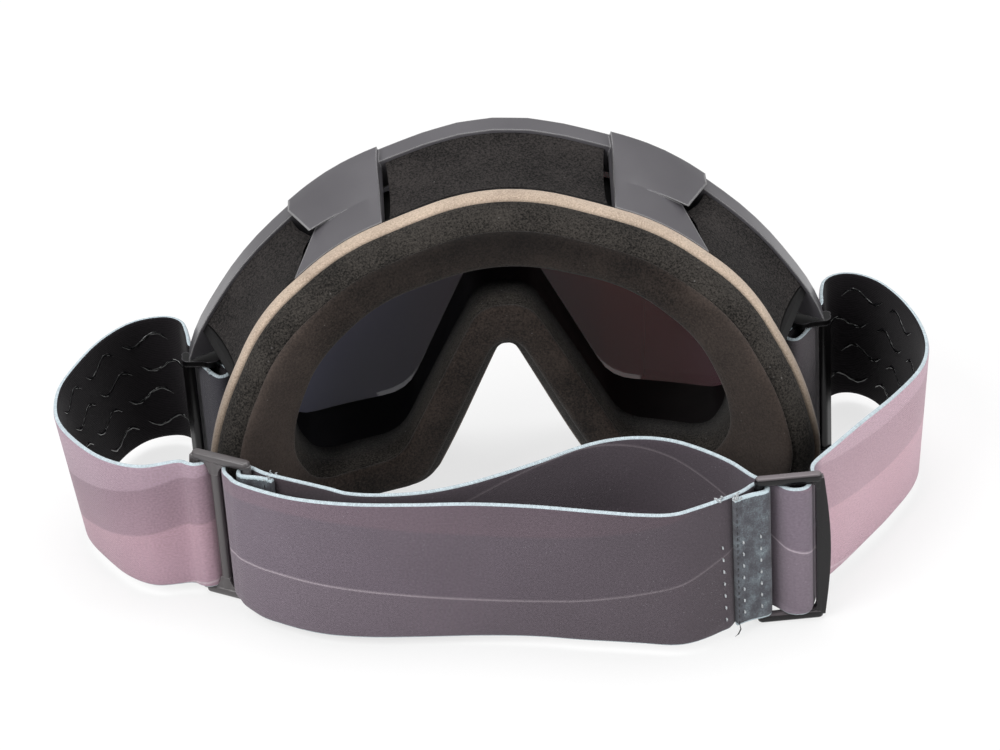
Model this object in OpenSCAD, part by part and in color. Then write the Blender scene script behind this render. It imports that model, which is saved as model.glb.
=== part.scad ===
// Motocross goggles standing on their lower edge with the strap held open behind them.
// X runs across the face, +Y points out of the lens, +Z is up and z = 0 is the rest plane.
// The frame is wrapped round a vertical axis behind the bridge, so a place on it is
// given by its front view (x, z) and by its radius from that axis.

/* [Frame] */
// Width of the outer frame between its widest corner points, before they are rounded
frame_w = 184; // [176:1:196]
// Height of the outer frame's top line above the rest plane
frame_h = 98.5; // [92:0.5:106]
// Radius of the surface that the face foam is glued to
seat_r = 125; // [118:1:140]
// How far the seat outline lies inside the outer frame at each side
seat_inset = 8; // [6:0.5:10]
// Height of the seat's lower edge above the rest plane
seat_z = 7; // [5:0.5:9]
// Thickness of the seat flange
flange_t = 3; // [2:0.5:4]
// Distance from the seat to the back of the front rim
vent_depth = 25.5; // [22:0.5:30]
// Thickness of the front rim from its back to its front
rim_t = 7; // [6:0.5:8]
// Wall of the shell that joins rim and seat
shell_t = 3; // [2:0.5:4]
// How far the two upper shell faces stand over the rim
strut_rise = 1.8; // [1:0.1:2.4]
// Wall of the black inner tunnel
tunnel_t = 2; // [1.5:0.25:3]
// Height of the lower end of the side wings, above the strap
wing_z = 48; // [45.2:0.1:48]
// How far the rim below the side wings keeps inside the hinge axes
rim_step = 4.1; // [3.6:0.1:4.6]

/* [Lens] */
// Width of the rim beside the lens opening
rim_side_w = 25; // [24:0.5:30]
// Height of the lens opening's lower edge above the rest plane
lens_z = 11; // [9:0.5:14]
// Height of the rim over the lens opening
rim_top_h = 5.5; // [4.5:0.5:8]
// Thickness of the lens
lens_t = 1.2; // [0.8:0.1:1.6]
// Depth of the groove that holds the lens edge
groove_d = 2.6; // [2:0.1:3]
// Clearance round the lens in its groove
lens_gap = 0.15; // [0.1:0.05:0.3]
// Radius of a tear-off post
post_r = 2; // [1.5:0.1:2.5]
// Length of a tear-off post above its foot
post_len = 3.2; // [2.5:0.1:5]
// Distance of the tear-off posts from the sides of the lens opening
post_in = 10; // [9:0.5:16]
// Height of the tear-off posts above the rest plane
post_z = 48; // [40:1:56]

/* [Face foam] */
// Thickness of the firm tan layer glued to the seat
tan_t = 5; // [3:0.5:7]
// Thickness of the dark open-cell layer
open_t = 8.5; // [6:0.5:10]
// Thickness of the fleece face at its crown
fleece_t = 2; // [1:0.5:3]
// Half width of the eye port in the foam
port_half_w = 59.5; // [54:0.5:61]
// Height of the eye port's lower edge above the rest plane
port_z = 22; // [20:0.5:26]
// Depth of the eye port's top below the outer frame's top
port_drop = 18.5; // [16:0.5:22]

/* [Strap] */
// Width of the strap
strap_w = 40; // [36:1:40]
// Thickness of the strap
strap_t = 1.6; // [1.2:0.1:1.8]
// Height of the strap's lower edge above the rest plane
strap_z = 3; // [3:0.1:3.2]
// Height of one bead of silicone grip
bead_w = 1.4; // [0.8:0.1:2]
// How far a bead stands out of the strap
bead_t = 0.6; // [0.3:0.1:1]
// Number of grip beads on each side loop
bead_count = 4; // [2:1:6]

/* [Sliders] */
// Height of a slider
slider_h = 46; // [45.6:0.1:46]
// Length of a slider along the strap
slider_len = 20; // [19.6:0.1:20.6]
// Thickness of a slider's bars
bar_t = 2.2; // [1.8:0.1:2.4]
// Width of the end bar at its middle
end_bar_w = 3.8; // [3:0.1:3.8]
// How far the end bar bows out between the rails
end_bow = 1.6; // [1:0.1:1.8]
// Width of the bar that the other strap is sewn round
sewn_bar_w = 2.4; // [2.3:0.1:2.6]
// Width of the centre bar
mid_bar_w = 2.8; // [2.4:0.1:2.8]
// Thickness of the two rails
rail_t = 3.6; // [3:0.1:4]
// Height of each rail
rail_h = 2.8; // [2:0.1:2.8]

/* [Outriggers] */
// How far the hinge axes lie inside the outer frame's side lines
hinge_in = 15; // [14.6:0.1:15.2]
// Place of the hinge axis towards the lens
hinge_y = 8; // [7.6:0.1:8.2]
// Radius of the hinge barrel
barrel_r = 2.8; // [2.4:0.1:3]
// Radius of the hinge pin
pin_r = 1.2; // [1:0.1:1.4]
// Running clearance of the pin in the barrel
pin_gap = 0.05; // [0.03:0.01:0.1]
// Thickness of the post beside the strap
plate_t = 2.5; // [2:0.1:3]
// Radius of the bar that the strap is sewn round
strap_bar_r = 1.1; // [0.9:0.1:1.2]
// Thickness of the lugs over and under the strap
lug_t = 1.8; // [1.4:0.1:1.8]

/* [Hidden] */

$fn = 96;
// Gap left between pieces that touch but are not fused
fit_gap = 0.1;
// Clearance between soft pieces and what holds them
soft_gap = 0.3;
// Clearance between moving hard pieces
run_gap = 0.3;
// Steps in each rounded corner of an outline and in the straight after it, and points per corner
corner_steps = 4;
flat_steps = 4;
per_corner = corner_steps + flat_steps;
// Steps between two route points of a strap
strap_steps = 5;

rim_back_r = seat_r + vent_depth;
rim_front_r = rim_back_r + rim_t;
lens_r = rim_back_r + 2.6;
foam_face_r = seat_r - tan_t - open_t;
strap_top = strap_z + strap_w;

// Corners of the right half of each outline: share of half width, share of height,
// and how much of the corner is rounded off, in mm
rim_shape = [
    [0, 1, 24], [0.511, 0.877, 12], [0.777, 0.71, 11], [0.946, 0.516, 9], [0.99, 0.325, 9],
    [0.848, 0, 8], [0.326, 0, 5], [0.174, 0.276, 10], [0.049, 0.453, 4]
];
seat_shape = [
    [0, 1, 24], [0.524, 0.872, 9], [0.786, 0.722, 10], [0.94, 0.467, 10], [1, 0.222, 9],
    [0.929, 0, 11], [0.268, 0, 5], [0.179, 0.15, 10], [0.021, 0.461, 4]
];
tunnel_shape = [
    [0, 1, 20], [0.576, 0.899, 9], [0.864, 0.725, 9], [0.97, 0.449, 9], [1, 0.188, 6],
    [0.924, 0, 6], [0.439, 0, 7], [0.303, 0.261, 9], [0.121, 0.609, 5]
];
lens_shape = [
    [0, 1, 24], [0.627, 0.866, 10], [0.866, 0.72, 9], [0.97, 0.463, 9], [1, 0.244, 8],
    [0.94, 0, 9], [0.463, 0, 8], [0.254, 0.305, 12], [0.075, 0.549, 7]
];
port_shape = [
    [0, 1, 18], [0.571, 0.871, 10], [0.857, 0.655, 9], [0.975, 0.397, 7], [1, 0.19, 6],
    [0.908, 0, 6], [0.521, 0, 6], [0.361, 0.3, 11], [0.115, 0.762, 6]
];

frame_half = frame_w / 2;
lens_half_w = frame_half - rim_side_w;
hinge_x = frame_half - hinge_in;
rim_core_w = hinge_x - rim_step;
// The tunnel stands this far out of the eye port: at the sides, below and above
tunnel_out_by = [6.5, 4, 7];
// The corner points stand above the rounded top line by this much
crown_over = 3;
rim_out = outline(rim_shape, frame_half, 0, frame_h + crown_over);
// The seat's corner points end this far below the outer frame's top
seat_drop = 1.5;
seat_out = outline(seat_shape, frame_half - seat_inset, seat_z, frame_h - seat_drop);
tunnel_out = outline(tunnel_shape, port_half_w + tunnel_out_by[0], port_z - tunnel_out_by[1],
    frame_h - port_drop + tunnel_out_by[2]);
lens_out = outline(lens_shape, lens_half_w, lens_z, frame_h - rim_top_h);
port_out = outline(port_shape, port_half_w, port_z, frame_h - port_drop);

// Places of the sectors on the outlines, counted in outline points from the top
strut_from = 7.1;
// The outer end of an upper shell face: at the seat, in its crease, at the foot of its raised
// block and at the rim
face_to = [14.8, 11, 11.25, 11.95];
side_wall = [24.5, 24.95];
lower_strut_a = [44, 44.9];
lower_strut_b = [47.2, 48];
nose_strut = [62, 78];

// Sliders: centre in plan on the right side, and turn about Z; the left one is mirrored
slider_at = [[frame_half - 13.6, -47.5, 29], [frame_half - 20.8, -74.4, 3]];
sewn_bar_u = -8.6;
mid_bar_u = 1.5;
// How far the sewn end at the right slider turns away from the slider
sewn_turn = [0, 26];
// Length of the sewn double layer beyond the bar
sewn_len = 9.5;

// Sewn strap end at the outrigger: fold centre and direction on the right side
fold_at = [hinge_x + 2.3, -1.1];
fold_dir = 58.6;
strap_bar_s = 5.5;
end_len = 17;

// Routes of the strap in plan, left and right, from the outrigger to the slider, given by the
// distance out of the frame's side line and by y
left_side_route = [
    [-2.1, 21.5], [-0.1, 28], [5.2, 30.8], [14, 28.5], [22, 20], [28.2, 7.5], [32, -5], [31.6, -18.5],
    [26.8, -29.5], [18, -40.5], [8, -45.8]
];
right_side_route = [
    [-2.4, 21.5], [-0.8, 27.5], [3.5, 30.4], [9, 29.3], [14.5, 24], [19.3, 14], [22.4, 1.5],
    [22.8, -11], [19.4, -22.5], [11, -34.8], [1, -46.5], [-7.8, -57.2], [-14, -65]
];
function off_side(side, pts) = [for (p = pts) [side * (frame_half + p[0]), p[1]]];
// Routes between the sliders, drawn for this half width of the frame: the left piece lies
// outside, the right piece inside
drawn_half = 92;
function spread(pts) = [for (p = pts) [p[0] * frame_half / drawn_half, p[1]]];
left_back_route = [
    [-61.8, -64.3], [-52, -68.2], [-41, -70.8], [-28, -72.4], [-12, -73.8], [4, -76.8],
    [19, -80.8], [31, -83.8], [39.5, -84.6], [46.2, -82.2]
];
right_back_route = [
    [56.5, -62], [49.5, -55.2], [42, -50], [34, -47.6], [25.5, -47.8], [17, -50.5], [6.5, -56],
    [-4, -60.8], [-14.5, -64.8], [-25, -67], [-35.5, -66.9], [-44, -65.2], [-50, -61.8]
];

function mix(a, b, t) = a * (1 - t) + b * t;
function wrap(i, n) = ((i % n) + n) % n;

// A corner cut back by at most t along both its sides and rounded by a parabola
function corner(a, b, c, t) =
    let (ab = min(t, norm(a - b) / 2.4), cb = min(t, norm(c - b) / 2.4))
    let (p = b + (a - b) * ab / norm(a - b), q = b + (c - b) * cb / norm(c - b))
    [for (k = [0:corner_steps]) let (s = k / corner_steps) mix(mix(p, b, s), mix(b, q, s), s)];

// Both halves of a shape at its real size
function full_shape(shape, half_w, z0, z1) =
    let (right = [for (p = shape) [p[0] * half_w, z0 + p[1] * (z1 - z0), p[2]]])
    concat(right, [for (i = [len(right) - 1:-1:1]) [-right[i][0], right[i][1], right[i][2]]]);

// Closed outline with the same number of points for every shape, clockwise from the top
function outline(shape, half_w, z0, z1) =
    let (pts = full_shape(shape, half_w, z0, z1), n = len(pts))
    let (flat = [for (p = pts) [p[0], p[1]]])
    let (arcs = [for (i = [0:n - 1]) corner(flat[wrap(i - 1, n)], flat[i], flat[wrap(i + 1, n)], pts[i][2])])
    [for (i = [0:n - 1]) each concat(
        arcs[i],
        [for (k = [1:flat_steps - 1]) mix(arcs[i][corner_steps], arcs[wrap(i + 1, n)][0], k / flat_steps)]
    )];

// Unit vector out of the outline at point i
function out_dir(pts, i) =
    let (n = len(pts), d = pts[wrap(i + 1, n)] - pts[wrap(i - 1, n)])
    [-d[1], d[0]] / norm(d);
function grow(pts, d) = [for (i = [0:len(pts) - 1]) pts[i] + d * out_dir(pts, i)];

// Point of an outline at a place between its points
function at(pts, u) =
    let (n = len(pts), i = floor(u))
    mix(pts[wrap(i, n)], pts[wrap(i + 1, n)], u - i);

// A front-view point put on the cylinder of radius r
function on_shell(p, r) = [p[0], sqrt(r * r - p[0] * p[0]) - seat_r, p[1]];

// Smooth curve through the route points
function bend(a, b, c, d, t) =
    0.5 * (2 * b + (c - a) * t + (2 * a - 5 * b + 4 * c - d) * t * t + (3 * b - a - 3 * c + d) * t * t * t);
function smooth(pts) =
    let (n = len(pts))
    concat(
        [for (i = [0:n - 2], k = [0:strap_steps - 1])
            bend(pts[max(i - 1, 0)], pts[i], pts[i + 1], pts[min(i + 2, n - 1)], k / strap_steps)],
        [pts[n - 1]]
    );

// Points at a distance d to the left of a path
function beside(path, d) =
    [for (i = [0:len(path) - 1])
        let (v = path[min(i + 1, len(path) - 1)] - path[max(i - 1, 0)])
        path[i] + d * [-v[1], v[0]] / norm(v)];
// The point just past the end of a path, so that two lengths of strap do not overlap
function beyond(path) =
    let (b = path[len(path) - 1], v = b - path[len(path) - 2])
    b + v / norm(v) * 0.3;
function reversed(list) = [for (i = [len(list) - 1:-1:0]) list[i]];

// Plan place of a point given along and out of a slider; side is 0 left or 1 right
function slider_point(side, u, v) =
    let (c = slider_at[side], s = side == 1 ? 1 : -1)
    [s * (c[0] + u * cos(c[2]) + v * sin(c[2])), c[1] + u * sin(c[2]) - v * cos(c[2])];
function slider_path(side, pts) = [for (p = pts) slider_point(side, p[0], p[1])];

// The fold round the sewn bar, given from the bar's centre
fold_v = bar_t / 2 + strap_t / 2 + 0.25;
layer_v = strap_t / 2 + 0.25;
tab_shape = [
    [-8.5, layer_v], [-5.5, layer_v + 0.05], [-3, mix(layer_v, fold_v, 0.4)], [-1, fold_v - 0.1],
    [1, fold_v - 0.1], [fold_v + 0.1, 0], [1, -fold_v + 0.1], [-1, -fold_v + 0.1],
    [-3, -mix(layer_v, fold_v, 0.4)], [-5.5, -layer_v - 0.05], [-sewn_len, -layer_v]
];
function turned(p, a) = [p[0] * cos(a) + p[1] * sin(a), -p[0] * sin(a) + p[1] * cos(a)];
function tab_path(side) = smooth(slider_path(side,
    [for (p = tab_shape) turned(p, sewn_turn[side]) + [sewn_bar_u, 0]]));

// The fold round the outrigger's bar, along and across its direction
pinch = strap_t / 2 + 0.25;
fold_half = strap_bar_r + strap_t / 2 + 0.2;
end_shape = [
    [14, pinch], [11, pinch + 0.2], [8, fold_half - 0.05], [4, fold_half], [0.8, fold_half - 0.05],
    [-1.5, 0.7 * fold_half], [-fold_half, 0], [-1.5, -0.7 * fold_half], [0.8, -fold_half + 0.05],
    [4, -fold_half], [8, -fold_half + 0.05], [11, -pinch - 0.2], [14, -pinch], [end_len, -0.2]
];
function fold_point(p) =
    [fold_at[0] + p[0] * cos(fold_dir) + p[1] * sin(fold_dir),
     fold_at[1] + p[0] * sin(fold_dir) - p[1] * cos(fold_dir)];
end_path = smooth([for (p = end_shape) fold_point(p)]);
strap_bar_at = fold_point([strap_bar_s, 0]);
end_face = beyond(end_path);
end_next = fold_point([end_len + 2, -0.25]);

// How a strap goes in behind the end bar and out over the centre bar
bar_pass = bar_t / 2 + strap_t / 2 + soft_gap + 0.1;
left_entry = [
    [11.5, bar_pass + 0.6], [8.2, bar_pass + 0.3], [6.3, 2.4], [4.75, 1.1], [4.15, -0.6], [3.3, -1.95],
    [1.9, -bar_pass - 0.05]
];
right_entry = [
    [6, -4.2], [5.2, -1.5], [4, bar_pass - 1], [2.6, bar_pass + 0.05], [1, bar_pass + 0.15]
];
left_exit = [[1.4, -bar_pass - 0.05], [-0.1, -1.95], [-1.7, 0.3], [-3.3, 2.5], [-5.6, 4], [-10, 5.9]];
right_exit = [[0.45, bar_pass + 0.1], [-1.4, 1.5], [-3.2, -0.7], [-5.4, -3.3], [-8.9, -5.2]];

left_side_path = smooth(concat(
    [[-end_face[0], end_face[1]], [-end_next[0], end_next[1]]],
    off_side(-1, left_side_route), slider_path(0, left_entry)
));
right_side_path = smooth(concat(
    [end_face, end_next],
    off_side(1, right_side_route), slider_path(1, right_entry)
));
left_back_path = smooth(concat(slider_path(0, left_exit), spread(left_back_route), [beyond(tab_path(1))]));
right_back_path = smooth(concat(slider_path(1, right_exit), spread(right_back_route), [beyond(tab_path(0))]));

// A wall between two radii round the frame's axis
module band(r0, r1) {
    translate([0, -seat_r, -1]) difference() {
        cylinder(r = r1, h = frame_h + 10, $fn = 180);
        translate([0, 0, -1]) cylinder(r = r0, h = frame_h + 12, $fn = 180);
    }
}

// A front view carried through the depth of the frame
module through(pts) {
    translate([0, rim_front_r, 0]) rotate([90, 0, 0]) linear_extrude(2 * rim_front_r) polygon(pts);
}

// What lies between two outlines and two radii
module ring(outer, inner, r0, r1) {
    difference() {
        intersection() {
            band(r0, r1);
            through(outer);
        }
        through(inner);
    }
}

// Skin through rings of points; a closed loft joins its last ring to its first
module loft(rings, closed = false) {
    n = len(rings);
    m = len(rings[0]);
    sides = [for (i = [0:n - (closed ? 1 : 2)], j = [0:m - 1])
        let (a = i * m, b = wrap(i + 1, n) * m, k = wrap(j + 1, m))
        each [[a + j, b + k, b + j], [a + j, a + k, b + k]]];
    caps = closed ? [] : [[for (j = [m - 1:-1:0]) j], [for (j = [0:m - 1]) (n - 1) * m + j]];
    polyhedron([for (r = rings) each r], concat(sides, caps), convexity = 8);
}

// Places spread evenly from a to b
function steps(a, b, n) = [for (k = [0:n]) mix(a, b, k / n)];

// Shell section that carries the seat's edge out to the rim
rim_lip = 0.5;
flange_edge = 1.6;
seat_in_edge = grow(seat_out, -flange_edge + fit_gap);
seat_in_shell = grow(seat_out, -shell_t);
rim_in_shell = grow(rim_out, -shell_t);
rim_skin = grow(rim_out, -rim_lip);
rim_high = grow(rim_out, strut_rise);
function strut_section(u) = [
    on_shell(at(seat_out, u), seat_r),
    on_shell(at(seat_in_edge, u), seat_r),
    on_shell(at(seat_in_edge, u), seat_r + flange_t + fit_gap),
    on_shell(at(seat_in_shell, u), seat_r + flange_t + fit_gap),
    on_shell(at(rim_in_shell, u), rim_back_r + rim_lip),
    on_shell(at(rim_out, u), rim_back_r + rim_lip)
];
module strut(from, to, n) {
    loft([for (u = steps(to, from, n)) strut_section(u)]);
}

// Upper shell face: a wedge on the seat and a block on the rim. The block rises towards its
// outer end and hangs over the crease there. Both shares of the way from the seat to the rim
// are given at the inner and the outer end
crease_share = [0.46, 0.5];
foot_share = [0.48, 0.42];
crease_r = seat_r + crease_share[1] * vent_depth;
function face_section(t) =
    let (u = [for (to = face_to) mix(strut_from, to, t)])
    let (k = pow(t, 4), crease = mix(crease_share[0], crease_share[1], k))
    let (foot = mix(foot_share[0], foot_share[1], k))
    let (lift = k * (at(rim_high, u[2]) - at(rim_out, u[2])))
    [
        on_shell(at(seat_out, u[0]), seat_r),
        on_shell(at(seat_in_edge, u[0]), seat_r),
        on_shell(at(seat_in_edge, u[0]), seat_r + flange_t + fit_gap),
        on_shell(at(seat_in_shell, u[0]), seat_r + flange_t + fit_gap),
        on_shell(mix(at(seat_in_shell, u[1]), at(rim_in_shell, u[1]), crease), seat_r + crease * vent_depth),
        on_shell(at(rim_in_shell, u[3]), rim_back_r + rim_lip),
        on_shell(at(rim_skin, u[3]), rim_back_r + rim_lip),
        on_shell(at(rim_skin, u[3]), rim_front_r - 0.8),
        on_shell(at(rim_high, u[3]), rim_front_r - 1.4),
        on_shell(at(rim_high, u[3]), rim_back_r),
        on_shell(mix(at(seat_out, u[2]), at(rim_out, u[2]), foot) + lift, seat_r + foot * vent_depth),
        on_shell(mix(at(seat_out, u[1]), at(rim_out, u[1]), crease), seat_r + crease * vent_depth)
    ];
module upper_face() {
    loft([for (t = steps(1, 0, 12)) face_section(t)]);
}

module tear_place(side) {
    turn = asin((lens_half_w - post_in) / (lens_r + lens_t));
    translate([0, -seat_r, post_z]) rotate([0, 0, -side * turn]) translate([0, lens_r + lens_t, 0])
        rotate([-90, 0, 0]) children();
}

module both_sides() {
    children();
    mirror([1, 0, 0]) children();
}

// Height span of the frame's knuckle between the outrigger's two
knuckle_z = [8.3, 11.7];

module outer_frame() {
    color([0.36, 0.36, 0.38]) difference() {
        union() {
            difference() {
                ring(rim_out, lens_out, rim_back_r, rim_front_r);
                both_sides() translate([rim_core_w, -seat_r, -1]) cube([frame_w, 2 * seat_r, wing_z + 1]);
            }
            strut(nose_strut[0], nose_strut[1], 24);
            both_sides() {
                upper_face();
                strut(lower_strut_a[0], lower_strut_a[1], 2);
                strut(lower_strut_b[0], lower_strut_b[1], 2);
                translate([0, 0, knuckle_z[0]]) linear_extrude(knuckle_z[1] - knuckle_z[0]) union() {
                    translate([hinge_x, hinge_y]) circle(barrel_r);
                    translate([rim_core_w - 1, hinge_y - barrel_r])
                        square([hinge_x - rim_core_w + 1, 2 * barrel_r]);
                }
            }
        }
        intersection() {
            band(lens_r - lens_gap, lens_r + lens_t + lens_gap);
            through(grow(lens_out, groove_d));
        }
        both_sides() translate([hinge_x, hinge_y, -1]) cylinder(r = pin_r + 0.02, h = pin_top + 1);
    }
}

// Hinge pin: its lower end sits in the lower knuckle, its upper end in the side wing
pin_z = 0.6;
pin_top = wing_z + 4;

module hinge_pin() {
    translate([hinge_x, hinge_y, pin_z]) cylinder(r = pin_r, h = pin_top - pin_z - 0.1);
}
module hinge_pin_left() {
    color([0.55, 0.55, 0.57]) mirror([1, 0, 0]) hinge_pin();
}
module hinge_pin_right() {
    color([0.55, 0.55, 0.57]) hinge_pin();
}

// Breathing windows in the top of the tunnel, and what is left of it before and behind them
window_count = 5;
window_w = 7;
window_pitch = 10;
window_back = 4;
window_front = 6;

// Wall that closes a side vent over the outrigger
tunnel_mid = grow(tunnel_out, tunnel_t / 2);
function wall_section(u) = [
    on_shell(at(vent_seat, u), seat_r + flange_t - 0.5),
    on_shell(at(tunnel_mid, u), seat_r + flange_t - 0.5),
    on_shell(at(tunnel_mid, u), rim_back_r - fit_gap),
    on_shell(at(vent_rim, u), rim_back_r - fit_gap)
];

module inner_frame() {
    wall_out = grow(tunnel_out, tunnel_t);
    window_low = frame_h - port_drop;
    color([0.1, 0.1, 0.11]) difference() {
        union() {
            ring(grow(seat_out, -flange_edge), tunnel_out, seat_r, seat_r + flange_t);
            ring(wall_out, tunnel_out, seat_r + flange_t - 0.01, rim_back_r - fit_gap / 2);
            both_sides() loft([for (u = steps(side_wall[1], side_wall[0], 2)) wall_section(u)]);
        }
        for (i = [0:window_count - 1]) {
            x = (i - (window_count - 1) / 2) * window_pitch;
            translate([x - window_w / 2, flange_t + window_back, window_low])
                cube([window_w, vent_depth - flange_t - window_back - window_front, port_drop]);
        }
    }
}

module lens() {
    color([0.25, 0.22, 0.3, 0.6]) intersection() {
        band(lens_r, lens_r + lens_t);
        through(grow(lens_out, groove_d - lens_gap));
    }
}

post_foot_r = post_r + 1.1;
post_foot_t = 0.8;
module tear_off_post(side) {
    tear_place(side) union() {
        cylinder(r = post_foot_r, h = post_foot_t);
        cylinder(r = post_r, h = post_foot_t + post_len);
    }
}
module tear_off_post_left() {
    color([0.12, 0.12, 0.13]) tear_off_post(-1);
}
module tear_off_post_right() {
    color([0.12, 0.12, 0.13]) tear_off_post(1);
}

// A layer of the foam: each section point is a share of the way from the outer
// outline to the eye port and a radius
foam_count = len(seat_out);
module foam_layer(section) {
    loft([for (i = [0:foam_count - 1])
        [for (p = section) on_shell(mix(seat_out[i], port_out[i], p[0]), p[1])]], closed = true);
}

// Shares at which the outer side of the foam stands at the layer borders
tan_lean = 0.06;
open_lean = 0.34;
// Share at which the tan layer ends inside; the open-cell layer covers its edge
tan_end = 0.92;
cover_from = 0.94;
tan_r = seat_r - tan_t;
glue = 0.12;

module seat_foam() {
    color([0.66, 0.6, 0.54]) foam_layer([
        [0, seat_r - fit_gap], [0.5, seat_r - fit_gap], [tan_end, seat_r - fit_gap],
        [tan_end, tan_r], [0.5, tan_r], [tan_lean, tan_r]
    ]);
}
module open_cell_foam() {
    mid_r = mix(tan_r, foam_face_r, 0.55);
    color([0.24, 0.23, 0.22]) foam_layer([
        [tan_lean, tan_r - glue], [0.5, tan_r - glue], [cover_from, tan_r - glue],
        [cover_from, seat_r - fit_gap], [1, seat_r - fit_gap],
        [1, foam_face_r], [open_lean, foam_face_r], [0.17, mid_r]
    ]);
}
module face_fleece() {
    color([0.16, 0.14, 0.13]) foam_layer([
        [open_lean, foam_face_r - glue], [1, foam_face_r - glue], [0.98, foam_face_r - 0.6 * fleece_t],
        [0.85, foam_face_r - fleece_t], [0.6, foam_face_r - fleece_t], [0.42, foam_face_r - 0.75 * fleece_t]
    ]);
}

vent_low = grow(tunnel_out, tunnel_t + soft_gap / 2);
vent_seat = grow(seat_out, -flange_edge);
vent_rim = grow(rim_out, -1);
// A vent foam runs between two ends, each given at the seat, in the crease, at the rim and
// at the tunnel
function vent_section(u) = [
    on_shell(at(vent_seat, u[0]), seat_r + flange_t + 0.2),
    on_shell(at(vent_low, u[3]), seat_r + flange_t + 0.2),
    on_shell(at(vent_low, u[3]), rim_back_r - 0.2),
    on_shell(at(vent_rim, u[2]), rim_back_r - 0.2),
    on_shell(mix(at(vent_seat, u[1]), at(vent_rim, u[1]), crease_share[1]), crease_r)
];
module vent_foam(from, to, n) {
    color([0.17, 0.16, 0.16]) loft([for (t = steps(1, 0, n)) vent_section(mix(from, to, t))]);
}
function straight(u) = [u, u, u, u];
// Outline places cleared between a vent foam and the walls at its ends
vent_clear = 0.12;
strut_clear = 0.45;
module vent_foam_top() {
    vent_foam(straight(4 - strut_from + vent_clear), straight(strut_from - vent_clear), 20);
}
module vent_foam_right() {
    from = [face_to[0], face_to[1], face_to[3], face_to[0] + 1.6] + straight(strut_clear);
    vent_foam(from, straight(side_wall[0] - vent_clear), 16);
}
module vent_foam_left() {
    mirror([1, 0, 0]) vent_foam_right();
}
module vent_foam_lower_right() {
    vent_foam(straight(lower_strut_a[1] + vent_clear), straight(lower_strut_b[0] - vent_clear), 4);
}
module vent_foam_lower_left() {
    mirror([1, 0, 0]) vent_foam_lower_right();
}

// A straight bar with round ends between two plan points
end_steps = 10;
function half_round(p, w, from) =
    [for (k = [0:end_steps]) p + w / 2 * [cos(from + 180 * k / end_steps), sin(from + 180 * k / end_steps)]];
module rod(p, q, w) {
    way = atan2(q[1] - p[1], q[0] - p[0]);
    polygon(concat(half_round(q, w, way - 90), half_round(p, w, way + 90)));
}

plate_w = fold_half + strap_t / 2 + 0.6 + plate_t / 2;
post_from = fold_point([9, plate_w]);
post_to = fold_point([11, plate_w]);
lug_z = [0.2, strap_top + 0.3];

module outrigger() {
    hinge = [hinge_x, hinge_y];
    color([0.07, 0.07, 0.08]) difference() {
        union() {
            translate([hinge_x, hinge_y, lug_z[0]])
                cylinder(r = barrel_r, h = knuckle_z[0] - run_gap - lug_z[0]);
            translate([hinge_x, hinge_y, knuckle_z[1] + run_gap])
                cylinder(r = barrel_r, h = wing_z - run_gap - knuckle_z[1] - run_gap);
            for (z = lug_z) translate([0, 0, z]) linear_extrude(lug_t) union() {
                rod(hinge, strap_bar_at, 2 * barrel_r);
                rod(strap_bar_at, post_from, 4.4);
            }
            translate([0, 0, lug_z[0]]) linear_extrude(lug_z[1] + lug_t - lug_z[0])
                rod(post_from, post_to, plate_t);
            translate([strap_bar_at[0], strap_bar_at[1], lug_z[0]])
                cylinder(r = strap_bar_r, h = lug_z[1] + lug_t - lug_z[0]);
        }
        translate([hinge_x, hinge_y, -1]) cylinder(r = pin_r + pin_gap, h = wing_z + 2);
    }
}
module outrigger_left() {
    mirror([1, 0, 0]) outrigger();
}
module outrigger_right() {
    outrigger();
}

// A strap standing on its edge along a path
module ribbon(path, z0 = strap_z, h = strap_w, t0 = -strap_t / 2, t1 = strap_t / 2) {
    translate([0, 0, z0]) linear_extrude(h) polygon(concat(beside(path, t1), reversed(beside(path, t0))));
}

strap_tone = [0.42, 0.38, 0.42];
module strap_left_end() {
    color(strap_tone) mirror([1, 0, 0]) ribbon(end_path);
}
module strap_left_side() {
    color(strap_tone) ribbon(left_side_path);
}
module strap_left_back() {
    color(strap_tone) ribbon(left_back_path);
}
module strap_left_tab() {
    color(strap_tone) ribbon(tab_path(1));
}
module strap_right_end() {
    color(strap_tone) ribbon(end_path);
}
module strap_right_side() {
    color(strap_tone) ribbon(right_side_path);
}
module strap_right_back() {
    color(strap_tone) ribbon(right_back_path);
}
module strap_right_tab() {
    color(strap_tone) ribbon(tab_path(0));
}

// Silicone beads on the side of the strap that faces the head
module grip(path, face) {
    part = [for (i = [grip_from:len(path) - 1 - grip_to]) path[i]];
    near = face * (strap_t / 2 + 0.02);
    far = face * (strap_t / 2 + bead_t);
    color([0.05, 0.05, 0.06]) for (k = [1:bead_count])
        ribbon(part, strap_z + k * strap_w / (bead_count + 1) - bead_w / 2, bead_w,
            min(near, far), max(near, far));
}
// Path points left bare at the outrigger and at the slider
grip_from = 12;
grip_to = 36;
module grip_left() {
    grip(left_side_path, 1);
}
module grip_right() {
    grip(right_side_path, -1);
}

// A bar of a slider with a rounded section; its ends are buried in the rails
module slider_bar(u, w) {
    flat = w / 2 - bar_t / 2;
    translate([0, 0, rail_h / 2]) linear_extrude(slider_h - rail_h) rod([u - flat, 0], [u + flat, 0], bar_t);
}
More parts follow.
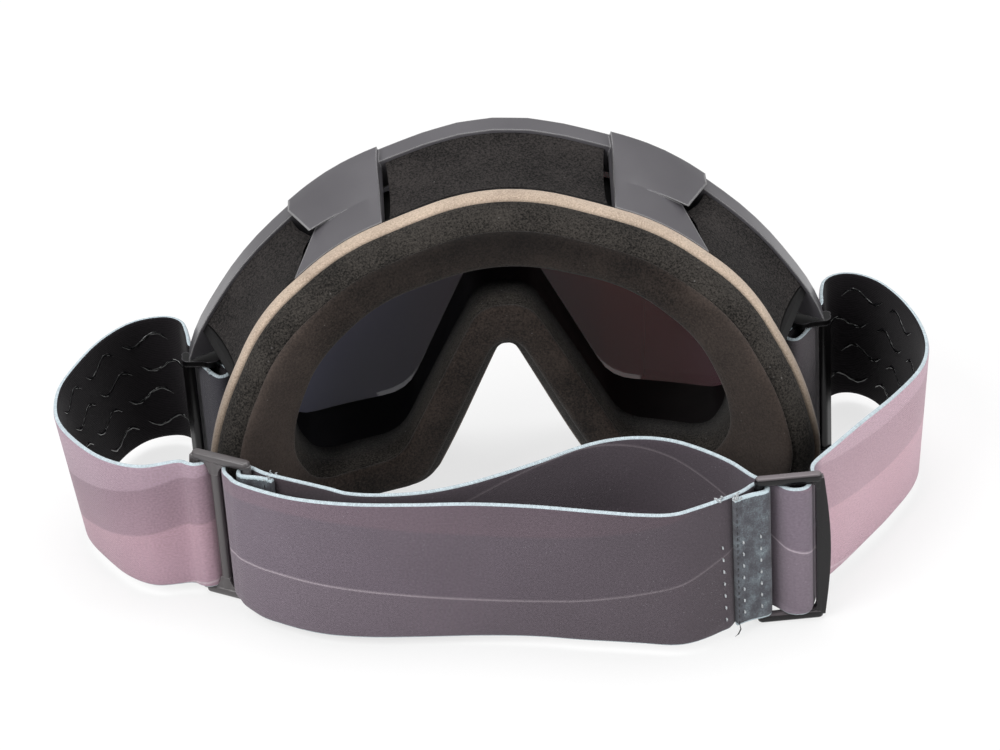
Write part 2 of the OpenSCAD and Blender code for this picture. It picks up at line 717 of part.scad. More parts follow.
// The end bar, bowed out between the rails
bow_steps = 14;
bow_z = [rail_h / 2, slider_h - rail_h / 2];
module bowed_bar() {
    inner = slider_len / 2 - end_bar_w;
    outer = slider_len / 2 - end_bow;
    translate([0, bar_t / 2, 0]) rotate([90, 0, 0]) linear_extrude(bar_t) polygon(concat(
        [[inner, bow_z[1]], [inner, bow_z[0]]],
        [for (k = [0:bow_steps])
            [outer + end_bow * sin(180 * k / bow_steps), mix(bow_z[0], bow_z[1], k / bow_steps)]]
    ));
}
module slider(side) {
    c = slider_at[side];
    color([0.24, 0.24, 0.25]) translate([c[0], c[1], 0]) rotate([0, 0, c[2]]) union() {
        for (z = [0, slider_h - rail_h]) translate([0, 0, z]) linear_extrude(rail_h)
            rod([-slider_len / 2 + rail_t / 2, 0], [slider_len / 2 - end_bow - rail_t / 2, 0], rail_t);
        bowed_bar();
        slider_bar(mid_bar_u, mid_bar_w);
        slider_bar(sewn_bar_u, sewn_bar_w);
    }
}
module slider_left() {
    mirror([1, 0, 0]) slider(0);
}
module slider_right() {
    slider(1);
}

outer_frame();
inner_frame();
lens();
tear_off_post_left();
tear_off_post_right();
seat_foam();
open_cell_foam();
face_fleece();
vent_foam_top();
vent_foam_left();
vent_foam_right();
vent_foam_lower_left();
vent_foam_lower_right();
hinge_pin_left();
hinge_pin_right();
outrigger_left();
outrigger_right();
strap_left_end();
strap_left_side();
strap_left_back();
strap_left_tab();
strap_right_end();
strap_right_side();
strap_right_back();
strap_right_tab();
grip_left();
grip_right();
slider_left();
slider_right();
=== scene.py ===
import bpy, bmesh, math, random
from mathutils import Matrix, Vector


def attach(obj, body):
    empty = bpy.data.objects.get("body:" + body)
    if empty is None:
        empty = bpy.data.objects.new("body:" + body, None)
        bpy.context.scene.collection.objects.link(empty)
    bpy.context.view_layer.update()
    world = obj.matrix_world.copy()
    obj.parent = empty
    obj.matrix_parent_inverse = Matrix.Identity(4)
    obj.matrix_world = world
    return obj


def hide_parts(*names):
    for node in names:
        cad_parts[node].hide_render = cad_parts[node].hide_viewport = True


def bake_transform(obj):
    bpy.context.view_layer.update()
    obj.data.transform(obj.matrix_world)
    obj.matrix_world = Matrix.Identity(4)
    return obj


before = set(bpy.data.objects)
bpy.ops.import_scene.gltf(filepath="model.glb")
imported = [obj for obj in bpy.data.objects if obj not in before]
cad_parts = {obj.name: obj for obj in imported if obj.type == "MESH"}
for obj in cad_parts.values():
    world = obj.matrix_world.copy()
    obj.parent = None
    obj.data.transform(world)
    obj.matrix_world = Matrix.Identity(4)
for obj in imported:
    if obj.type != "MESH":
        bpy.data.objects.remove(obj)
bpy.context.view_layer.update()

scene = bpy.context.scene
MM = 0.001
SIDES = ("left", "right")


def add_object(name, data):
    ob = bpy.data.objects.new(name, data)
    scene.collection.objects.link(ob)
    return ob


# Camera
PITCH = math.radians(32)
ROLL = math.radians(3.7)
TARGET = Vector((-2.4, 0, 35.4)) * MM
DISTANCE = 1.0
LENS = 129.6


def photo_camera():
    """A camera at the photograph's viewing angle, behind the goggles and above them."""
    forward = Vector((0, math.cos(PITCH), -math.sin(PITCH)))
    level_up = Vector((0, math.sin(PITCH), math.cos(PITCH)))
    level_right = Vector((1, 0, 0))
    right = level_right * math.cos(ROLL) - level_up * math.sin(ROLL)
    up = level_right * math.sin(ROLL) + level_up * math.cos(ROLL)
    data = bpy.data.cameras.new("camera")
    data.sensor_width = 36
    data.lens = LENS
    data.clip_start = 0.05
    data.clip_end = 20
    camera = add_object("camera", data)
    placing = Matrix((right, up, -forward)).transposed().to_4x4()
    placing.translation = TARGET - forward * DISTANCE
    camera.matrix_world = placing
    scene.camera = camera


photo_camera()

# Outlines of the frame in front view. Each corner of a right half is a share of the half width, a
# share of the height and the reach of its rounding. Shapes are in millimetres until their mesh is
# made; the floor, the lights and places in materials are in metres.
SEAT_R = 125.0
RIM_SHAPE = [(0, 1, 24), (0.511, 0.877, 12), (0.777, 0.71, 11), (0.946, 0.516, 9), (0.99, 0.325, 9),
             (0.848, 0, 8), (0.326, 0, 5), (0.174, 0.276, 10), (0.049, 0.453, 4)]
SEAT_SHAPE = [(0, 1, 24), (0.524, 0.872, 9), (0.786, 0.722, 10), (0.94, 0.467, 10), (1, 0.222, 9),
              (0.929, 0, 11), (0.268, 0, 5), (0.179, 0.15, 10), (0.021, 0.461, 4)]
TUNNEL_SHAPE = [(0, 1, 20), (0.576, 0.899, 9), (0.864, 0.725, 9), (0.97, 0.449, 9), (1, 0.188, 6),
                (0.924, 0, 6), (0.439, 0, 7), (0.303, 0.261, 9), (0.121, 0.609, 5)]
PORT_SHAPE = [(0, 1, 18), (0.571, 0.871, 10), (0.857, 0.655, 9), (0.975, 0.397, 7), (1, 0.19, 6),
              (0.908, 0, 6), (0.521, 0, 6), (0.361, 0.3, 11), (0.115, 0.762, 6)]
RIM_HALF, RIM_LOW, RIM_HIGH = 92, 0, 101.5
SEAT_HALF, SEAT_LOW, SEAT_HIGH = 84, 7, 97
TUNNEL_HALF, TUNNEL_LOW, TUNNEL_HIGH = 66, 18, 87
PORT_HALF, PORT_LOW, PORT_HIGH = 59.5, 22, 80
CORNER_STEPS = 12
FLAT_STEPS = 4
PER_CORNER = CORNER_STEPS + FLAT_STEPS
# The solid model's own steps, in which places on an outline are counted
PLACES_ROUND = 4
PLACES = 8
# A rounding takes at most one side's length divided by this
SIDE_SHARE = 2.4


def mix(a, b, t):
    return tuple(x * (1 - t) + y * t for x, y in zip(a, b))


def outline(shape, half_w, low, high):
    """Closed outline with rounded corners, clockwise from the top."""
    right_half = [(x * half_w, low + z * (high - low), reach) for x, z, reach in shape]
    corners = right_half + [(-x, z, reach) for x, z, reach in right_half[:0:-1]]
    n = len(corners)
    arcs = []
    for i in range(n):
        a, b, c = (Vector(corners[k % n][:2]) for k in (i - 1, i, i + 1))
        reach = corners[i][2]
        p = b + (a - b).normalized() * min(reach, (a - b).length / SIDE_SHARE)
        q = b + (c - b).normalized() * min(reach, (c - b).length / SIDE_SHARE)
        shares = [k / CORNER_STEPS for k in range(CORNER_STEPS + 1)]
        arcs.append([p.lerp(b, s).lerp(b.lerp(q, s), s) for s in shares])
    out = []
    for i in range(n):
        ahead = arcs[(i + 1) % n][0]
        out += arcs[i] + [arcs[i][-1].lerp(ahead, k / FLAT_STEPS) for k in range(1, FLAT_STEPS)]
    return out


def grow(pts, d):
    """The outline moved outward by d."""
    out = []
    for i, p in enumerate(pts):
        v = pts[(i + 1) % len(pts)] - pts[i - 1]
        out.append(p + d * Vector((-v.y, v.x)).normalized())
    return out


def at(pts, u):
    """Point of an outline at a place counted as in the solid model."""
    corner, step = divmod(u, PLACES)
    i = PER_CORNER * corner
    i += step / PLACES_ROUND * CORNER_STEPS if step <= PLACES_ROUND else CORNER_STEPS + (step - PLACES_ROUND)
    k = math.floor(i)
    return pts[k % len(pts)].lerp(pts[(k + 1) % len(pts)], i - k)


def mirror(u):
    """The place on the left that matches a place on the right."""
    return PLACES_ROUND - u


def shell(p, r):
    """A front view point laid on the upright cylinder of radius r behind the bridge, in metres."""
    return Vector((p[0], math.sqrt(r * r - p[0] * p[0]) - SEAT_R, p[1])) * MM


rim_out = outline(RIM_SHAPE, RIM_HALF, RIM_LOW, RIM_HIGH)
seat_out = outline(SEAT_SHAPE, SEAT_HALF, SEAT_LOW, SEAT_HIGH)
tunnel_out = outline(TUNNEL_SHAPE, TUNNEL_HALF, TUNNEL_LOW, TUNNEL_HIGH)
port_out = outline(PORT_SHAPE, PORT_HALF, PORT_LOW, PORT_HIGH)


# Curves
CURVE_STEPS = 10


def between(a, b, c, d, t):
    """Point at share t of the way from b to c, on a smooth curve through all four."""
    return tuple(0.5 * (2 * q + (r - p) * t + (2 * p - 5 * q + 4 * r - s) * t * t
                        + (3 * q - p - 3 * r + s) * t ** 3) for p, q, r, s in zip(a, b, c, d))


def smooth_curve(pts, steps=CURVE_STEPS):
    """Smooth curve through the points, with this many steps from each to the next."""
    out = []
    last = len(pts) - 1
    for i in range(last):
        four = [pts[max(0, min(last, i + k))] for k in (-1, 0, 1, 2)]
        out += [between(*four, k / steps) for k in range(steps)]
    return out + [tuple(pts[-1])]


def smooth_table(points):
    """A function that eases from each value to the next and keeps still beyond both ends."""
    def value(x):
        if x <= points[0][0]:
            return points[0][1]
        for (a, at_a), (b, at_b) in zip(points, points[1:]):
            if x <= b:
                t = (x - a) / (b - a)
                return at_a + (at_b - at_a) * (t * t * (3 - 2 * t))
        return points[-1][1]
    return value


# Mesh helpers
def mesh_object(name, verts, faces, materials, uvs=None, face_material=None):
    me = bpy.data.meshes.new(name)
    me.from_pydata([tuple(v) for v in verts], [], faces)
    me.update()
    ob = add_object(name, me)
    for material in materials:
        me.materials.append(material)
    if uvs:
        layer = me.uv_layers.new(name="UVMap")
        for poly in me.polygons:
            for loop, vert in zip(poly.loop_indices, poly.vertices):
                layer.data[loop].uv = uvs[vert]
    if face_material:
        for poly, k in zip(me.polygons, face_material):
            poly.material_index = k
    for poly in me.polygons:
        poly.use_smooth = True
    bm = bmesh.new()
    bm.from_mesh(me)
    bmesh.ops.recalc_face_normals(bm, faces=bm.faces)
    bm.to_mesh(me)
    bm.free()
    return ob


def loft(name, rings, closed, materials, uvs=None, face_material=None):
    """Skin over rings of points; the last ring joins the first, or both get a cap."""
    n, m = len(rings), len(rings[0])
    faces = []
    for i in range(n if closed else n - 1):
        a, b = i * m, ((i + 1) % n) * m
        for j in range(m):
            k = (j + 1) % m
            faces.append((a + j, b + j, b + k, a + k))
    if not closed:
        faces.append(tuple(range(m - 1, -1, -1)))
        faces.append(tuple((n - 1) * m + j for j in range(m)))
    return mesh_object(name, [v for ring in rings for v in ring], faces, materials, uvs, face_material)


def apply_modifiers(ob):
    depsgraph = bpy.context.evaluated_depsgraph_get()
    me = bpy.data.meshes.new_from_object(ob.evaluated_get(depsgraph))
    old = ob.data
    ob.modifiers.clear()
    ob.data = me
    bpy.data.meshes.remove(old)


def smooth_by_angle(ob, degrees):
    """Smooth shading, with the edges over this angle left sharp."""
    me = ob.data
    bm = bmesh.new()
    bm.from_mesh(me)
    for f in bm.faces:
        f.smooth = True
    for e in bm.edges:
        e.smooth = len(e.link_faces) != 2 or e.calc_face_angle(0) <= math.radians(degrees)
    bm.to_mesh(me)
    bm.free()


# Material helpers
def srgb(v):
    v = v / 255.0
    return v / 12.92 if v <= 0.04045 else ((v + 0.055) / 1.055) ** 2.4


def colour(c):
    """A colour given as 0 to 255 display values, as a linear colour with alpha."""
    return (srgb(c[0]), srgb(c[1]), srgb(c[2]), 1.0)


class Material:
    """A node material that is built up by calls; colours are 0 to 255 display values."""

    SOCKETS = {"rough": "Roughness", "metal": "Metallic", "spec": "Specular IOR Level", "coat": "Coat Weight",
               "coat_rough": "Coat Roughness", "sheen": "Sheen Weight", "sheen_rough": "Sheen Roughness",
               "alpha": "Alpha"}

    def __init__(self, name):
        self.made = bpy.data.materials.new(name)
        self.made.use_nodes = True
        self.tree = self.made.node_tree
        self.shader = self.tree.nodes["Principled BSDF"]

    def node(self, kind, **props):
        n = self.tree.nodes.new(kind)
        for k, v in props.items():
            setattr(n, k, v)
        return n

    def link(self, a, b):
        self.tree.links.new(a, b)

    def obj(self):
        return self.node("ShaderNodeTexCoord").outputs["Object"]

    def uv(self):
        return self.node("ShaderNodeUVMap", uv_map="UVMap").outputs["UV"]

    def mapped(self, kind, coord, output, values, **props):
        """Output of a node that takes its place from coord, with these values on its sockets."""
        n = self.node(kind, **props)
        for k, v in values.items():
            n.inputs[k].default_value = v
        self.link(coord, n.inputs["Vector"])
        return n.outputs[output]

    def scaled(self, coord, s, loc=(0, 0, 0), rot=(0, 0, 0)):
        values = {"Scale": s if isinstance(s, tuple) else (s, s, s), "Location": loc, "Rotation": rot}
        return self.mapped("ShaderNodeMapping", coord, "Vector", values)

    def noise(self, coord, scale, detail=3, rough=0.5):
        values = {"Scale": scale, "Detail": detail, "Roughness": rough}
        return self.mapped("ShaderNodeTexNoise", coord, "Fac", values)

    def voronoi(self, coord, scale):
        return self.mapped("ShaderNodeTexVoronoi", coord, "Distance", {"Scale": scale})

    def wave(self, coord, scale, distortion, direction="X"):
        values = {"Scale": scale, "Distortion": distortion, "Detail": 1.0}
        return self.mapped("ShaderNodeTexWave", coord, "Fac", values, wave_type="BANDS",
                           bands_direction=direction)

    def ramp(self, fac, stops):
        n = self.node("ShaderNodeValToRGB")
        els = n.color_ramp.elements
        while len(els) > 1:
            els.remove(els[-1])
        els[0].position = stops[0][0]
        els[0].color = colour(stops[0][1])
        for pos, c in stops[1:]:
            els.new(pos).color = colour(c)
        self.link(fac, n.inputs["Fac"])
        return n.outputs["Color"]

    def math(self, op, a, b=None, clamp=False):
        n = self.node("ShaderNodeMath", operation=op, use_clamp=clamp)
        for socket, v in zip(n.inputs, (a, b)):
            if isinstance(v, (int, float)):
                socket.default_value = v
            elif v is not None:
                self.link(v, socket)
        return n.outputs[0]

    def add(self, a, b, clamp=False):
        return self.math("ADD", a, b, clamp)

    def times(self, a, b, clamp=False):
        return self.math("MULTIPLY", a, b, clamp)

    def rise(self, value, start, rate):
        """0 up to start, and from there up to 1 at this rate."""
        return self.times(self.math("SUBTRACT", value, start), rate, clamp=True)

    def fall(self, value, end, rate):
        """0 from end on, and before it up to 1 at this rate."""
        return self.times(self.math("SUBTRACT", end, value), rate, clamp=True)

    def mixc(self, fac, a, b, mode="MIX"):
        n = self.node("ShaderNodeMix", data_type="RGBA", blend_type=mode)
        for socket, v in ((n.inputs[0], fac), (n.inputs[6], a), (n.inputs[7], b)):
            if isinstance(v, (int, float)):
                socket.default_value = v
            elif isinstance(v, tuple):
                socket.default_value = colour(v)
            else:
                self.link(v, socket)
        return n.outputs[2]

    def split(self, coord):
        n = self.node("ShaderNodeSeparateXYZ")
        self.link(coord, n.inputs[0])
        return n.outputs

    def bump(self, height, strength, distance_mm, normal=None):
        n = self.node("ShaderNodeBump")
        n.inputs["Strength"].default_value = strength
        n.inputs["Distance"].default_value = distance_mm * MM
        self.link(height, n.inputs["Height"])
        if normal:
            self.link(normal, n.inputs["Normal"])
        return n.outputs["Normal"]

    def colour(self, out):
        self.link(out, self.shader.inputs["Base Color"])

    def rough(self, out):
        self.link(out, self.shader.inputs["Roughness"])

    def normal(self, out):
        self.link(out, self.shader.inputs["Normal"])

    def set(self, **values):
        for k, v in values.items():
            self.shader.inputs[self.SOCKETS[k]].default_value = v


# Materials
BLACK, WHITE = (0, 0, 0), (255, 255, 255)


def foam_material(name, dark, light, grain, bump_mm, sheen=0.15, speck=0.0, patch=0.3, brow_and_temple_tint=0.0, gap=0.14,
                  painted_low_shade=0.0):
    """Open foam or fleece: fine speckle, soft patches and a few pale fibres. soiled darkens the brow
    and pales the temples, and dull is painted shade that darkens what lies low."""
    a = Material(name)
    o = a.obj()
    big = a.noise(o, 70, 3)
    fine = a.noise(o, grain, 2, 0.6)
    finer = a.noise(o, grain * 2.3, 2, 0.6)
    f = a.add(a.times(big, patch), a.times(fine, 0.62 - patch / 2))
    f = a.add(f, a.times(finer, 0.38 - patch / 2))
    c = a.ramp(f, [(0.5 - gap, dark), (0.5 + gap, light)])
    if speck:
        dots = a.ramp(a.voronoi(o, grain * 0.22), [(0.0, WHITE), (speck, BLACK)])
        where = a.ramp(a.noise(o, 160, 2), [(0.48, BLACK), (0.6, WHITE)])
        c = a.mixc(a.mixc(1.0, dots, where, "MULTIPLY"), c, mix(light, (230, 230, 235), 0.4))
    if brow_and_temple_tint:
        x, _, z = a.split(o)
        brow = a.rise(z, 0.072, 60.0)
        c = a.mixc(a.times(brow, brow_and_temple_tint), c, (12, 9, 8))
        temple = a.rise(a.math("ABSOLUTE", x), 0.045, 60.0)
        temple = a.times(temple, a.math("SUBTRACT", 1.0, brow))
        c = a.mixc(a.times(temple, 0.24), c, (104, 92, 86))
    # Painted shade: what lies low is darkened.
    if painted_low_shade:
        c = a.mixc(a.times(a.fall(a.split(o)[2], 0.066, 33.0), painted_low_shade), c, (62, 54, 47))
    a.colour(c)
    a.normal(a.bump(a.add(fine, finer), 0.7, bump_mm))
    a.set(rough=0.95, sheen=sheen, sheen_rough=0.5, spec=0.2)
    return a.made


def plastic(name, base, spread, rough, grain, coat=0.0, spec=0.5, edge=0.0, edge_highlight=None, top_highlight=None, metal=0.0):
    """Moulded plastic or plain metal; edge rounds the corners' shading by that many millimetres, worn
    is a painted highlight colour on those corners and dust a painted highlight colour on faces that look up."""
    a = Material(name)
    o = a.obj()
    big = a.noise(o, 35, 3)
    fine = a.noise(o, 900, 3, 0.6)
    c = a.ramp(big, [(0.3, tuple(max(0, v - spread) for v in base)), (0.7, tuple(v + spread for v in base))])
    a.rough(a.add(a.times(a.noise(o, 120, 4), 0.16), rough - 0.08))
    corner = None
    if edge:
        n = a.node("ShaderNodeBevel")
        n.samples = 6
        n.inputs["Radius"].default_value = edge * MM
        corner = n.outputs["Normal"]
    # Faces that look up get a lighter colour: painted light from above.
    if top_highlight:
        upward = a.split(a.node("ShaderNodeNewGeometry").outputs["Normal"])[2]
        c = a.mixc(a.rise(upward, 0.35, 1.6), c, top_highlight)
    # Corners get a lighter colour: a painted highlight.
    if edge_highlight:
        dot = a.node("ShaderNodeVectorMath", operation="DOT_PRODUCT")
        a.link(corner, dot.inputs[0])
        a.link(a.node("ShaderNodeNewGeometry").outputs["Normal"], dot.inputs[1])
        c = a.mixc(a.ramp(dot.outputs["Value"], [(0.78, WHITE), (0.97, BLACK)]), c, edge_highlight)
    a.colour(c)
    a.normal(a.bump(fine, 0.5, grain, corner))
    a.set(spec=spec, coat=coat, coat_rough=0.15, metal=metal)
    return a.made


def thread_material(name, base):
    a = Material(name)
    o = a.obj()
    c = a.ramp(a.noise(o, 2600, 3, 0.6), [(0.35, mix(base, BLACK, 0.35)), (0.65, mix(base, WHITE, 0.12))])
    a.colour(c)
    a.normal(a.bump(a.wave(a.scaled(o, 1.0, rot=(0.6, 0.6, 0)), 2400, 0.5), 0.4, 0.05))
    a.set(rough=0.7, sheen=0.2, spec=0.3)
    return a.made


def strap_material(name, loop_end, shift, tone, tone_share, shade_past_slider, roll, turn):
    """Printed elastic: soft slanted bands, pink and lilac on the loop, gray-purple behind the head.
    The texture's x runs along the strap from where its loop starts and its y across it, in
    millimetres. shift moves the print along, tone tints the loop by tone_share, and the loop's
    colours end by turn before its end. roll is the colour at the sewn end. Past the loop the strap
    gets darker along its length, partly its print and partly painted shade, and dim is painted
    shade: how much darker the strap is at once after the slider."""
    a = Material(name)
    uv = a.uv()
    x, y, _ = a.split(uv)
    u = a.add(x, shift)
    sway = a.times(a.math("SINE", a.times(u, 0.031)), 9)
    slow_sway = a.times(a.math("SINE", a.times(u, 0.0137)), 13)
    k = a.add(a.times(a.add(a.add(y, sway), slow_sway), 1 / 84.0), 0.5, clamp=True)
    loop = a.ramp(k, [
        (0.0, (194, 172, 186)), (0.20, (212, 188, 202)), (0.205, (192, 164, 177)), (0.33, (208, 177, 190)),
        (0.3325, (236, 218, 226)), (0.3355, (236, 218, 226)), (0.338, (206, 174, 187)),
        (0.56, (212, 178, 190)), (0.565, (184, 156, 168)), (0.74, (172, 147, 159)),
        (0.745, (196, 171, 184)), (1.0, (206, 181, 194))])
    back = a.ramp(k, [
        (0.0, (138, 126, 138)), (0.24, (144, 131, 143)), (0.25, (134, 122, 133)), (0.47, (137, 125, 136)),
        (0.4725, (200, 188, 196)), (0.475, (200, 188, 196)), (0.4775, (132, 120, 132)),
        (0.70, (136, 124, 136)), (0.71, (146, 128, 140)), (1.0, (142, 126, 138))])
    behind = a.rise(x, loop_end - turn, 0.2)
    c = a.mixc(behind, a.mixc(tone_share, loop, tone), back)
    # Painted shade, partly print: darker along the strap past the loop, and more at once past the slider.
    fade = a.math("POWER", a.rise(x, loop_end, 1 / 165.0), 0.7)
    past_slider = a.rise(x, loop_end + 5.0, 0.1)
    c = a.mixc(a.add(a.times(fade, 0.8 - shade_past_slider), a.times(past_slider, shade_past_slider)), c, (54, 48, 50))
    c = a.mixc(a.fall(x, 8.0, 0.12), c, roll)
    hem = a.math("GREATER_THAN", a.math("ABSOLUTE", y), 19.62)
    c = a.mixc(hem, c, (206, 220, 226))
    weave = a.wave(a.scaled(uv, 1, rot=(0, 0, 0.8)), 0.75, 0.8)
    grain = a.noise(a.scaled(uv, (1.3, 1.7, 1)), 1.2, 3, 0.7)
    soft = a.noise(a.scaled(uv, 0.05), 1.0, 3)
    c = a.mixc(0.22, c, a.ramp(soft, [(0.3, (96, 92, 96)), (0.7, (156, 150, 156))]), "SOFT_LIGHT")
    c = a.mixc(a.times(weave, 0.10), c, (70, 64, 70))
    speckle = a.rise(grain, 0.36, 3.4)
    c = a.mixc(a.times(speckle, 0.34), c, a.mixc(1.0, c, (126, 122, 126), "MULTIPLY"))
    lint = a.ramp(a.voronoi(a.scaled(uv, 0.9, (shift, 0, 0)), 1.0), [(0.0, WHITE), (0.13, BLACK)])
    where = a.noise(a.scaled(uv, 0.05, (shift, 3, 0)), 1.0, 2)
    where = a.ramp(where, [(0.42, BLACK), (0.6, (170, 170, 170))])
    c = a.mixc(a.mixc(1.0, lint, where, "MULTIPLY"), c, (206, 206, 210))
    a.colour(c)
    a.normal(a.bump(a.add(weave, a.times(grain, 0.6)), 0.5, 0.12))
    a.set(rough=0.9, sheen=0.2, sheen_rough=0.5, spec=0.25)
    return a.made


def strap_reverse_material():
    a = Material("strap_reverse")
    uv = a.uv()
    rib = a.wave(uv, 0.55, 0.4, "Y")
    grain = a.noise(a.scaled(uv, (0.8, 2.6, 1)), 1.6, 3, 0.7)
    f = a.add(a.times(rib, 0.3), a.times(grain, 0.7))
    a.colour(a.ramp(f, [(0.25, (14, 12, 14)), (0.75, (38, 34, 38))]))
    a.normal(a.bump(a.add(rib, grain), 0.5, 0.12))
    a.set(rough=0.92, sheen=0.1, spec=0.15)
    return a.made


def tab_material():
    """Reverse side of the sewn end: the strap's reverse elastic painted lighter as painted light, and
    mottled, with wear and a little fluffy.
    """
    a = Material("strap_tab_reverse")
    uv = a.uv()
    _, y, _ = a.split(uv)
    patch = a.noise(a.scaled(uv, (0.30, 0.22, 1)), 1.0, 3, 0.6)
    grain = a.noise(a.scaled(uv, (1.7, 1.7, 1)), 1.6, 3, 0.7)
    f = a.add(a.times(patch, 0.55), a.times(grain, 0.45))
    c = a.ramp(f, [(0.30, (50, 50, 55)), (0.48, (82, 83, 89)), (0.56, (98, 104, 110)),
                   (0.72, (146, 160, 164))])
    hem = a.math("GREATER_THAN", a.add(a.math("ABSOLUTE", y), a.times(grain, 0.8)), 19.75)
    a.colour(a.mixc(hem, c, (190, 206, 212)))
    a.normal(a.bump(f, 0.9, 0.35))
    a.set(rough=0.95, sheen=0.25, spec=0.15)
    return a.made


def lens_material():
    """Smoke tint that turns from blue-gray to red-brown across the lens, and lets a little light through."""
    a = Material("lens_smoke")
    o = a.obj()
    across_lens = a.add(a.times(a.split(o)[0], 7.0), 0.5, clamp=True)
    c = a.ramp(across_lens, [(0.05, (104, 106, 138)), (0.3, (100, 92, 120)), (0.5, (112, 78, 94)),
                             (0.7, (138, 58, 58)), (0.84, (104, 40, 44)), (0.97, (100, 50, 72))])
    cloud = a.noise(o, 22, 2)
    a.colour(a.mixc(a.times(cloud, 0.35), c, (34, 30, 34)))
    a.rough(a.add(a.times(cloud, 0.05), 0.04))
    a.set(spec=0.6, coat=0.3, coat_rough=0.03, alpha=0.87)
    return a.made


m_frame = plastic("frame_satin_gray", (85, 83, 87), 5, 0.34, 0.012, coat=0.2, edge=0.8, edge_highlight=(160, 159, 160))
m_black = plastic("inner_black", (10, 9, 10), 2, 0.55, 0.02, spec=0.25, edge=0.4)
m_gloss = plastic("outrigger_gloss", (9, 8, 9), 2, 0.3, 0.005, coat=0.15, spec=0.3, edge=0.6,
                  edge_highlight=(84, 82, 86))
# Both sliders are one moulding of one colour: the left gets a lit copy, painted lighter gray, and the right a
# shaded copy, painted near black.
m_slider_lit = plastic("slider_gray", (80, 76, 77), 5, 0.34, 0.015, coat=0.2, edge=0.5, edge_highlight=(140, 136, 137),
                   top_highlight=(88, 84, 85))
m_slider_shaded = plastic("slider_shaded_copy", (15, 13, 15), 3, 0.25, 0.01, coat=0.15, spec=0.3, edge=0.5,
                        edge_highlight=(60, 56, 60), top_highlight=(116, 109, 112))
m_post = plastic("post_black", (16, 16, 18), 3, 0.3, 0.01, edge=0.2)
m_steel = plastic("pin_steel", (150, 150, 154), 8, 0.3, 0.01, edge=0.2, metal=1.0)
m_silicone = plastic("grip_silicone", (20, 20, 22), 4, 0.22, 0.004, coat=0.5)
m_tan = foam_material("tan_foam", (150, 133, 118), (206, 187, 168), 2300, 0.10, sheen=0.2, patch=0.25,
                      painted_low_shade=0.7)
m_open = foam_material("open_cell", (11, 9, 8), (64, 60, 56), 1900, 0.3, sheen=0.05, speck=0.12, patch=0.22,
                       gap=0.09)
m_fleece = foam_material("face_fleece", (17, 12, 10), (60, 51, 46), 1700, 0.2, sheen=0.12, speck=0.08,
                         patch=0.34, brow_and_temple_tint=0.8, gap=0.1)
m_vent = foam_material("vent_foam", (7, 6, 6), (54, 50, 49), 1700, 0.32, sheen=0.04, speck=0.08, patch=0.2,
                       gap=0.09)
m_thread_pale = thread_material("thread_pale", (206, 212, 216))
m_thread_dark = thread_material("thread_dark", (46, 46, 50))
m_reverse = strap_reverse_material()
m_tab = tab_material()
m_lens = lens_material()


# Rigid solids
def dress(node, material):
    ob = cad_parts[node]
    if not ob.data.materials:
        ob.data.materials.append(material)
    for slot in ob.material_slots:
        slot.material = material


def smooth_copy(name, node, degrees):
    """A rigid node's own shape with its facets merged and shaded smooth."""
    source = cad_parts[node]
    me = source.data.copy()
    me.transform(source.matrix_world)
    ob = add_object(name, me)
    bm = bmesh.new()
    bm.from_mesh(me)
    bmesh.ops.remove_doubles(bm, verts=bm.verts, dist=0.02 * MM)
    bmesh.ops.dissolve_limit(bm, angle_limit=math.radians(0.6), verts=bm.verts, edges=bm.edges)
    bm.to_mesh(me)
    bm.free()
    smooth_by_angle(ob, degrees)
    ob.modifiers.new("weighted", "WEIGHTED_NORMAL").keep_sharp = True
    apply_modifiers(ob)
    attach(ob, "goggles")
    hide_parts(node)


for node, material in (("outer_frame", m_frame), ("inner_frame", m_black), ("lens", m_lens)):
    dress(node, material)
for side in SIDES:
    for node, material in (("tear_off_post_", m_post), ("hinge_pin_", m_steel), ("outrigger_", m_gloss)):
        dress(node + side, material)
smooth_copy("outer_frame_moulding", "outer_frame", degrees=24)
smooth_copy("inner_frame_moulding", "inner_frame", degrees=24)

# Face foam. Each section is drawn with a share of the way from the seat's outline to the eye
# port's and a radius.
SEAT_FACE = SEAT_R - 0.1
TAN_FACE = 120.0
OPEN_BACK = TAN_FACE - 0.12
OPEN_FACE = 111.6
FLEECE_BACK = OPEN_FACE - 0.22


def foam(name, node, section, material):
    rings = [[shell(a.lerp(b, share), r) for share, r in section] for a, b in zip(seat_out, port_out)]
    ob = loft(name, rings, True, [material])
    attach(ob, "goggles")
    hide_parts(node)


tan_section = [(0.02, SEAT_FACE), (0.5, SEAT_FACE), (0.92, SEAT_FACE),
               (0.92, TAN_FACE), (0.5, TAN_FACE), (0.10, TAN_FACE)]
tan_section += smooth_curve([(0.055, 120.3), (0.015, 121.2), (0.0, 122.6), (0.002, 124.2),
                             (0.02, SEAT_FACE)], 3)[:-1]
open_section = [(0.10, OPEN_BACK), (0.5, OPEN_BACK), (0.94, OPEN_BACK), (0.94, SEAT_FACE), (1.0, SEAT_FACE),
                (1.0, OPEN_FACE), (0.6, OPEN_FACE - 0.1), (0.36, OPEN_FACE)]
open_section += smooth_curve([(0.34, 112.0), (0.25, 113.6), (0.155, 116.0), (0.09, 118.4), (0.075, 119.6),
                              (0.10, OPEN_BACK)], 4)[:-1]
fleece_section = [(0.36, FLEECE_BACK), (0.6, FLEECE_BACK), (0.97, FLEECE_BACK)]
fleece_section += smooth_curve([(1.0, 111.3), (0.99, 110.4), (0.93, 109.8), (0.8, 109.5), (0.6, 109.5),
                                (0.46, 109.8), (0.38, 110.5), (0.345, 111.3)], 4)
foam("face_foam_tan", "seat_foam", tan_section, m_tan)
